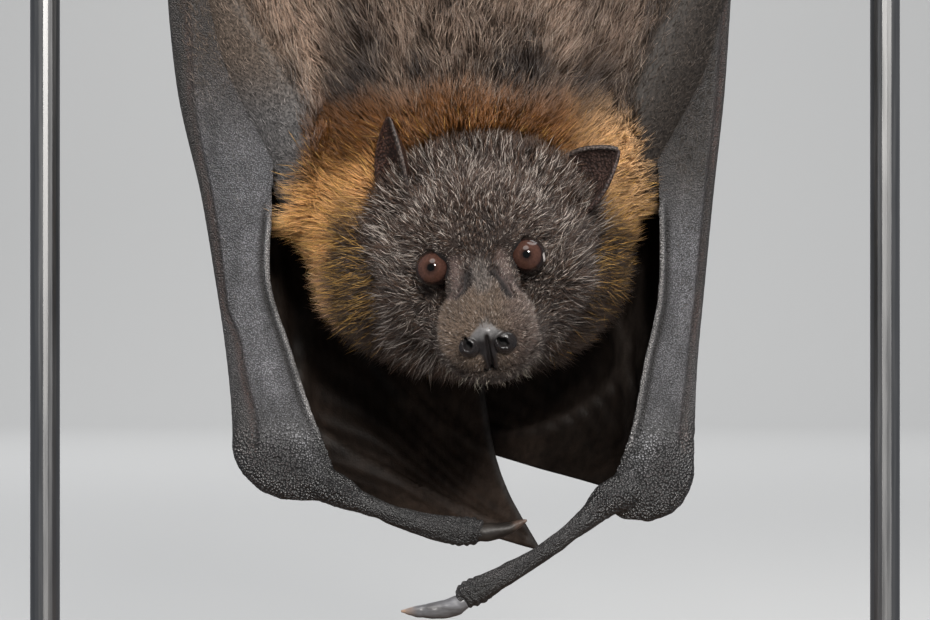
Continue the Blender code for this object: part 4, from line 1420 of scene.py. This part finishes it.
def coat(name, root, normal, tip, width, tint_root, tint_tip, unwrap, material):
    """Tufts from root to tip as joined meshes. Each is a tapering three-sided length, closed at
    its root, that leaves the skin steeply and bends over to its tip."""
    reach = tip - root
    length = np.linalg.norm(reach, axis=1, keepdims=True)
    side = unit(np.cross(reach, normal))
    bend = root + 0.5 * reach + normal * 0.10 * length
    bend += side * CURL * length * RNG.normal(size=(len(root), 1))
    base = root - normal * ROOT_DEPTH
    rise = unit(np.cross(side, reach))
    uv_root = unwrap(root)
    points, tints, uvs = [], [], []
    for t, swell in TUFT_RINGS:
        middle = base * (1 - t) ** 2 + 2 * bend * t * (1 - t) + tip * t**2
        for k, angle in enumerate(TUFT_TURNS if t < 1 else TUFT_TURNS[:1]):
            round_it = side * math.cos(angle) + 0.6 * rise * math.sin(angle)
            points.append(middle + round_it * (swell * width / 2)[:, None])
            tints.append(tint_root + (tint_tip - tint_root) * t)
            uvs.append(uv_root + BAKE_PATCH * np.array([t - 0.5, (k - 1) / 2]))
    points, tints, uvs = (np.stack(part, axis=1) for part in (points, tints, uvs))
    each = MOST_TRIANGLES // len(TUFT_FACES)
    for number, start in enumerate(range(0, len(root), each)):
        part = slice(start, start + each)
        obj = put(f"{name}_{number + 1}", tuft_mesh(name, points[part], tints[part], uvs[part]))
        obj.data.materials.append(material)
        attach(obj, "root")


def make_head_coat(head, material):
    ear_corner = ear_surface("left")(0.0, 0.45)

    def weight(points):
        local = in_head(points)
        x, y, z = local.T
        lips = ramp(np.abs(z - MOUTH_Z), 0.9, 0.5) * ramp(y, -14, -20) * ramp(np.abs(x), 9, 7)
        dense = 0.55 + 0.9 * ramp(y, 26, 6) + 1.6 * ramp(y, -6, -16)
        dense *= ramp(past_lids(points), 0.4, 0.8)
        dense *= (1 - nostril_bulb(local)) * (1 - nose_middle(local))
        dense *= 1 - 0.9 * lips
        dense *= (1 + 0.5 * corner_skin(local)) * (1 - 0.9 * lower_rims(points))
        dense *= ramp(distance(points, ear_corner), 3.5, 7.0)
        dense *= 0.05 + 0.95 * ramp(near_path(local, *CORNER_FOLDS), 1.3, 2.3)
        return dense * ~inside_balls(points, MANTLE)

    root, normal = scattered(head, many(HEAD_HAIRS), weight)
    count = len(root)
    local = in_head(root)
    x, y, z = local.T
    flow = unit(local - np.array([0, -36.0, -8.0]))
    flow += stray(local, 5.0, 0.55) * ramp(y, -22, -8)[:, None]
    flow += stray(local, 2.0, 0.5) * ramp(y, -16, -4)[:, None]
    edge = ramp(np.abs(x), 8.0, 11.5) * ramp(y, -12, -18)
    length = 1.5 + 0.9 * ramp(y, -22, -8) + 1.7 * ramp(y, -6, 10) + 2.6 * ramp(y, 12, 28)
    length += 1.1 * edge + 4.5 * ramp(z, -12, -24) * ramp(y, -14, 0)
    length += 3.4 * ramp(np.abs(x), 14, 26) * ramp(z, 8, -4)
    length *= (0.35 + 0.65 * ramp(past_lids(root), 0.5, 9.0)) * (1 - 0.35 * corner_skin(local))
    length *= RNG.uniform(0.65, 1.3, count)
    lift = 27 + 8 * ramp(y, -10, 5) + 14 * ramp(y, -12, -18) + 10 * edge
    lift = lifts(lift, 11, 4, 62, count)
    tip = laid(root, normal, unit(flow) @ HEAD_TURN.T, length, lift, 0.36)
    tip = clumped(root, tip, 8, 0.45 * RNG.random(count) * ramp(y, -14, -2))
    width = 0.17 + 0.03 * ramp(y, -20, -8) + 0.06 * ramp(y, 0, 20)
    width *= RNG.uniform(0.8, 1.25, count)
    folds = near_path(local, *CORNER_FOLDS)
    # Painted shade: the hair in the grooves past the eyes' inner corners is made dark.
    colour = mixed(head_colour(local), (0.022, 0.015, 0.013), 0.9 * ramp(folds, 2.9, 1.3))
    chance = 0.06 + 0.10 * ramp(z + 0.3 * y, -8, 8) * ramp(y, 34, 24) + 0.10 * ramp(y, -14, -4)
    chance += 0.05 * ramp(x, -10, -18) * ramp(z, 8, 0)
    chance *= 1 - 0.5 * ramp(distance(local, BROW_MIDDLE), 13, 5)
    chance = chance * ramp(y, -20, -10) + (0.05 + 0.12 * edge) * ramp(y, -14, -18)
    pale = RNG.random(count) < chance
    tint = shaded(colour, 0.35, 1.7)
    warm = RNG.random(count) < 0.28 * ramp(y, -16, -4)
    tint = recoloured(tint, warm, (0.115, 0.066, 0.042), 0.5, 1.4)
    tint = recoloured(tint, pale, (0.55, 0.475, 0.415), 0.3, 1.3)
    width *= np.where(pale, 1.05, 1)
    coat("coat_head", root, normal, tip, width, colour * 0.45, tint, globe_unwrap, material)


def make_chin_hairs(head, material):
    """Stiff hairs that stand out round the chin and lips, some of them pale."""

    def weight(points):
        x, y, z = in_head(points).T
        return ramp(y, -14, -20) * ramp(z, MOUTH_Z - 0.8, MOUTH_Z - 2.2)

    root, normal = scattered(head, many(CHIN_HAIRS), weight)
    count = len(root)
    flow = unit(in_head(root) - np.array([0, -22.0, -8.0])) @ HEAD_TURN.T
    flow = unit(flow + np.array([0, 0, -0.35]))
    length = RNG.uniform(2.0, 5.5, count)
    tip = laid(root, normal, flow, length, np.full(count, 48.0), 0.28)
    pale = np.array([0.54, 0.48, 0.38]) * RNG.uniform(0.4, 1.2, (count, 1))
    tint = np.where(RNG.random((count, 1)) < 0.38, pale, np.array([0.05, 0.037, 0.03]))
    width = np.full(count, 0.15)
    coat("coat_chin", root, normal, tip, width, tint * 0.4, tint, globe_unwrap, material)


def body_flow(points):
    """The lie of the body's coat: out from the head over the collar, then on towards the feet."""
    out = unit((points - np.array([2.0, -12.0, 165.0])) * np.array([1.0, 0.6, 1.0]))
    onward = ramp(points[:, 2], 195, 260)
    return unit(mixed(out, unit(out * 0.5 + np.array([0, 0.05, 1.0])), onward))


def make_collar_coat(body, material):
    gold = mixed((0.78, 0.48, 0.15), (0.62, 0.32, 0.06), RNG.random(COLLAR_HAIRS))

    def weight(points):
        x, y, z = points.T
        dense = ramp(z, 216, 206) * (0.35 + 0.65 * ramp(y, 14, -4))
        for side in SIDES:
            dense = dense * ramp(near_path(points, EAR[side][:2]), 6.0, 9.0)
        buried = inside_balls(in_head(points), (FACE, CROWN, THROAT))
        return dense * (1 - arm_share(points)) * ~buried

    root, normal = scattered(body, many(COLLAR_HAIRS), weight)
    count = len(root)
    x, y, z = root.T
    length = RNG.uniform(7.5, 12.5, count) + 2.5 * ramp(z, 150, 138)
    length += RNG.uniform(0, 4, count) * ramp(z, 162, 148) * ramp(x, -20, -32)
    length *= 1 - 0.35 * ramp(x, 32, 46) * ramp(z, 165, 180)
    lift = lifts(27, 9, 6, 55, count)
    tip = laid(root, normal, body_flow(root) + stray(root, 4.0, 0.45), length, lift, 0.24)
    tip = clumped(root, tip, 16, 0.62 * RNG.random(count))
    colour = body_colour(root)
    tint = shaded(colour, 0.6, 1.5)
    chance = 0.34 * ramp(z, 138, 158) * (1 - 0.75 * ramp(z, 180, 196))
    chance *= (1 - 0.8 * ramp(x, 22, 34) * ramp(z, 168, 150)) * ramp(z, 205, 196)
    tint = recoloured(tint, RNG.random(count) < chance, gold[:count], 0.5, 1.05)
    tint = recoloured(tint, RNG.random(count) < 0.09, (0.080, 0.045, 0.025), 0.6, 1.4)
    unwrap = round_unwrap(4, 110, 230)
    width = RNG.uniform(0.17, 0.29, count)
    coat("coat_collar", root, normal, tip, width, colour * 0.55, tint, unwrap, material)


def make_back_coat(body, material):
    def weight(points):
        x, y, z = points.T
        dense = ramp(z, 200, 208) * ramp(z, 340, 330) * (0.35 + 0.65 * ramp(y, 26, 10))
        return dense * (1 - arm_share(points))

    root, normal = scattered(body, many(BACK_HAIRS), weight)
    count = len(root)
    length = RNG.uniform(8.5, 14, count)
    lift = lifts(20, 7, 5, 45, count)
    tip = laid(root, normal, body_flow(root) + stray(root, 6.0, 0.5), length, lift, 0.30)
    tip = clumped(root, tip, 22, 0.75 * RNG.random(count) ** 0.6)
    colour = body_colour(root)
    tint = shaded(colour, 0.6, 1.45)
    pale = RNG.random(count) < 0.05 + 0.20 * back_tone(root)
    tint = recoloured(tint, pale, (0.41, 0.32, 0.25), 0.5, 1.1)
    unwrap = round_unwrap(6, 190, 350)
    width = RNG.uniform(0.19, 0.32, count)
    coat("coat_back", root, normal, tip, width, colour * 0.45, tint, unwrap, material)


def make_arm_coat(body, arms, material):
    """The fine hair of the upper arms, which thins out over the forearms' upper ends."""

    def arm_weight(points):
        return arm_share(points) * ramp(points[:, 2], 320, 300)

    def blade_weight(points):
        z = points[:, 2]
        dense = (0.25 + 0.75 * ramp(z, 178, 214)) * ramp(z, 132, 160) * ramp(z, 284, 274)
        for side in SIDES:
            outer, inner = edge_places(side, points)
            mine = points[:, 0] * SIDES[side] > 0
            dense = dense * np.where(mine, ramp(outer, 3.0, 6.0) * ramp(inner, 4.0, 7.0), 1)
        return dense

    patches = [scattered(body, many(ARM_HAIRS), arm_weight)]
    patches += [scattered(arm, many(FOREARM_HAIRS), blade_weight) for arm in arms]
    root, normal = (np.concatenate(part) for part in zip(*patches))
    count = len(root)
    flow = unit(np.array([0.0, 0.0, 1.0]) + np.sign(root[:, :1]) * np.array([[0.55, 0, 0]]))
    flow += stray(root, 3.0, 0.5)
    lift = lifts(16, 6, 5, 34, count)
    near_fur = 2 * (1 - arm_share(root, 14)) * ramp(root[:, 2], 205, 222)
    length = RNG.uniform(1.5, 3.0, count) + 4.5 * near_fur
    tip = laid(root, normal, flow, length, lift, 0.3)
    colour = mixed(arm_hair_colour(root), (0.150, 0.108, 0.082), 0.6 * near_fur)
    colour = np.where(np.arange(count)[:, None] < many(ARM_HAIRS), colour, colour * 0.8)
    speck = RNG.random((count, 1)) < 0.28
    bright, plain = (RNG.uniform(low, high, (count, 1)) for low, high in ((2.0, 4.2), (0.5, 1.4)))
    tint = colour * np.where(speck, bright, plain)
    width = RNG.uniform(0.13, 0.20, count)
    unwrap = round_unwrap(4, 120, 300)
    coat("coat_arm", root, normal, tip, width, colour * 0.7, tint, unwrap, material)


def make_leg_coat(body, material):
    """The woolly hair of the legs."""

    def leg_weight(points):
        z = points[:, 2]
        return ramp(z, 326, 336) * ramp(z, 424, 408)

    root, normal = scattered(body, many(LEG_HAIRS), leg_weight)
    count = len(root)
    length = RNG.uniform(4.0, 7.0, count) * (1 - 0.55 * ramp(root[:, 2], 380, 420))
    flow = np.tile([0.0, 0.0, 1.0], (count, 1))
    tip = laid(root, normal, flow, length, lifts(24, 8, 5, 50, count), 0.2)
    tip = clumped(root, tip, 8, 0.5 * RNG.random(count))
    colour = body_colour(root)
    tint = shaded(colour, 0.6, 1.8)
    unwrap = round_unwrap(0, 310, 430)
    coat("coat_leg", root, normal, tip, np.full(count, 0.26), colour * 0.5, tint, unwrap, material)


def make_coats(head, body, arms):
    material = coat_material()
    make_head_coat(head, material)
    make_chin_hairs(head, material)
    make_collar_coat(body, material)
    make_back_coat(body, material)
    make_arm_coat(body, arms, material)
    make_leg_coat(body, material)


# Separate pieces


def make_eye(side, material):
    """An eyeball with a slight bulge over the iris."""
    eye = ball("eyeball_" + side, np.zeros(3), np.ones(3), np.eye(3), rings=60, sides=80)
    way = unit(places(eye))
    angle = np.arccos(np.clip(way @ unit(GAZE[side]), -1, 1))
    bulge = 0.35 * ramp(angle, math.radians(50), math.radians(10))
    level = way @ HEAD_TURN[:, 0] * SIDES[side]
    # A pale crescent at the outer edge of the left eye only: partly white of the eye, partly a
    # painted reflection.
    white = ramp(level, 0.78, 0.85) * ramp(level, 0.97, 0.89) * (side == "left")
    white *= ramp(np.abs(way @ HEAD_TURN[:, 2] - 0.02), 0.36, 0.16)
    angle = np.minimum(angle, math.radians(75)) * (1 - white) + WHITE_ANGLE * white
    middle = eye_centre(side) + EYE_PROUD * eye_axis(side)
    moved(eye, middle + way * (EYE_RADIUS - 0.12 + bulge)[:, None])
    layer = eye.data.attributes.new("from_gaze", "FLOAT", "POINT")
    layer.data.foreach_set("value", angle)
    eye.data.materials.append(material)
    return eye


def make_thumb_claw(side, material):
    """A claw with a worn, slightly lumpy surface and a paler tip."""
    claw = tube("claw_" + side, THUMB_CLAW[side], 60, 32)
    points, normal = places(claw), normals(claw)
    lift = 0.34 * (noise(points, 2.2, 5.5) - 0.5) + 0.14 * (noise(points, 0.8, 2.5) - 0.5)
    moved(claw, points + normal * lift[:, None])
    worn = ramp(distance(points, THUMB_CLAW[side][-1][:3]), 5.5, 1.5)
    worn *= 0.5 + 0.5 * ramp(noise(points, 1.3, 8), 0.3, 0.6)
    return painted(claw, np.ones_like(points), material, worn)


def make_branch(material):
    """The cut length of branch, with bark ridges, knots and cut ends."""
    rows = []
    for place in np.linspace(-1, 1, 13):
        swell = 1.0 + 0.05 * math.sin(7 * place) + 0.04 * math.cos(11 * place + 1)
        bend = 1.2 * math.sin(2.4 * place)
        radius = PERCH_RADIUS * swell
        if abs(place) < 0.3:
            radius, bend = PERCH_RADIUS, bend * 0.2
        rows.append((place * PERCH_HALF, PERCH_Y, PERCH_Z + bend, radius - 0.4, radius - 0.4))
    branch = tube("branch", rows, 260, 72, facing=(0, -1, 0.01))
    points, normal = places(branch), normals(branch)
    fine = 0.5 * (noise(points, (6, 1.1, 1.1), 1.0) - 0.5)
    ridges = noise(points, (16, 2.2, 2.2), 6.0) - 0.5 + fine
    side = ramp(np.abs(normal[:, 0]), 0.9, 0.6)
    quiet = 0.35 + 0.65 * ramp(np.abs(np.abs(points[:, 0]) - FOOT_X), 10, 16)
    lift = 1.1 * ridges * side * quiet
    for knot in KNOTS:
        lift += 1.6 * bell(distance(points, knot), 0, 5.5)
    moved(branch, points + normal * lift[:, None])
    branch.data.materials.append(material)
    return branch


# Room


def make_floor():
    """A pale floor that sweeps up, well behind the stand, into a plain backdrop."""
    half, bend, radius, height = 6.0, 3.3, 1.7, 4.0
    profile = [(-half, 0.0), (-2.0, 0.0), (0.0, 0.0), (2.0, 0.0)]
    for turn in np.linspace(0, math.pi / 2, 48):
        profile.append((bend + radius * math.sin(turn), radius * (1 - math.cos(turn))))
    profile.append((bend + radius, height))
    points = [(x, y, z) for y, z in profile for x in (-half, half)]
    faces = [(2 * i, 2 * i + 1, 2 * i + 3, 2 * i + 2) for i in range(len(profile) - 1)]
    floor = built("floor", np.array(points) / MM, faces, outwards=False)
    grey = Look("floor_plain", 0.9, Base_Color=(0.45, 0.45, 0.445, 1))
    floor.data.materials.append(grey.material)
    floor.visible_glossy = False


def make_lights():
    scene = bpy.context.scene
    for name, place, target, size, power, colour, in_gloss in LIGHTS:
        light = bpy.data.lights.new(name, "AREA")
        light.shape = "DISK"
        light.size = size
        light.energy = power
        light.color = colour
        obj = bpy.data.objects.new(name, light)
        obj.location = place
        obj.visible_glossy = in_gloss
        obj.rotation_euler = (Vector(target) - Vector(place)).to_track_quat("-Z", "Y").to_euler()
        scene.collection.objects.link(obj)
    world = bpy.data.worlds.new("studio")
    world.use_nodes = True
    sky = world.node_tree.nodes["Background"].inputs
    sky["Color"].default_value = (0.85, 0.9, 1.0, 1)
    sky["Strength"].default_value = 0.20
    scene.world = world
    scene.view_settings.view_transform = "Standard"


def make_camera():
    camera = bpy.data.cameras.new("camera")
    camera.sensor_width = SENSOR
    camera.lens = SENSOR * -CAMERA_AT[1] / CAMERA_VIEW
    camera.clip_end = 20
    obj = bpy.data.objects.new("camera", camera)
    obj.location = CAMERA_AT
    obj.rotation_euler = (math.pi / 2, 0, 0)
    bpy.context.scene.collection.objects.link(obj)
    bpy.context.scene.camera = obj


def join_skin(parts):
    """The parts of the skin as one piece."""
    bpy.ops.object.select_all(action="DESELECT")
    for part in parts:
        part.select_set(True)
    bpy.context.view_layer.objects.active = parts[0]
    bpy.ops.object.join()
    parts[0].name = "skin"
    parts[0].data.name = "skin"
    return parts[0]


def main():
    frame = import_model()
    make_camera()
    make_floor()
    make_lights()

    fur_skin, face_skin = fur_skin_material(), face_skin_material()
    arm_skin, membrane, ear_skin = arm_skin_material(), membrane_material(), ear_material()
    wet = eye_material()
    horn = {side: claw_material(*look) for side, look in HORN.items()}

    parts = [make_head(face_skin), make_body(fur_skin)]
    parts += [make_arm(side, arm_skin) for side in SIDES]
    for side in SIDES:
        parts.append(make_ear(side, ear_skin))
        parts.append(make_hand_wing(side, membrane))
        parts.append(make_foot(side, arm_skin))
    make_coats(parts[0], parts[1], parts[2:4])
    skin = join_skin(parts)
    nodes = ["head", "neck", "trunk"]
    paired = ("ear", "upper_arm", "forearm", "thumb", "hand_wing")
    for side in SIDES:
        nodes += [f"{part}_{side}" for part in paired]
        nodes += [f"finger_{digit}_{side}" for digit in FINGERS]
        nodes += ["leg_" + side, "foot_" + side]
    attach(skin, "root")
    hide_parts(*nodes)

    for side in SIDES:
        eye = make_eye(side, wet)
        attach(eye, "root")
        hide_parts("eye_" + side)
        claw = make_thumb_claw(side, horn[side])
        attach(claw, "root")
        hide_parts("thumb_claw_" + side)
    claws = make_toe_claws(horn["right"])
    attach(claws, "root")
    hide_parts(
        *[f"toe_claw_{side}_{number + 1}" for side in SIDES for number in range(TOES)]
    )
    branch = make_branch(bark_material())
    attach(branch, "root")
    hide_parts("perch")

    wood, steel = stand_wood_material(), stand_steel_material()
    stand = {"stand_base": wood, "stand_post_left": steel, "stand_post_right": steel}
    for name, material in stand.items():
        node = frame["nodes"][name]
        node.data.materials.clear()
        node.data.materials.append(material)

    bpy.context.view_layer.update()


main()
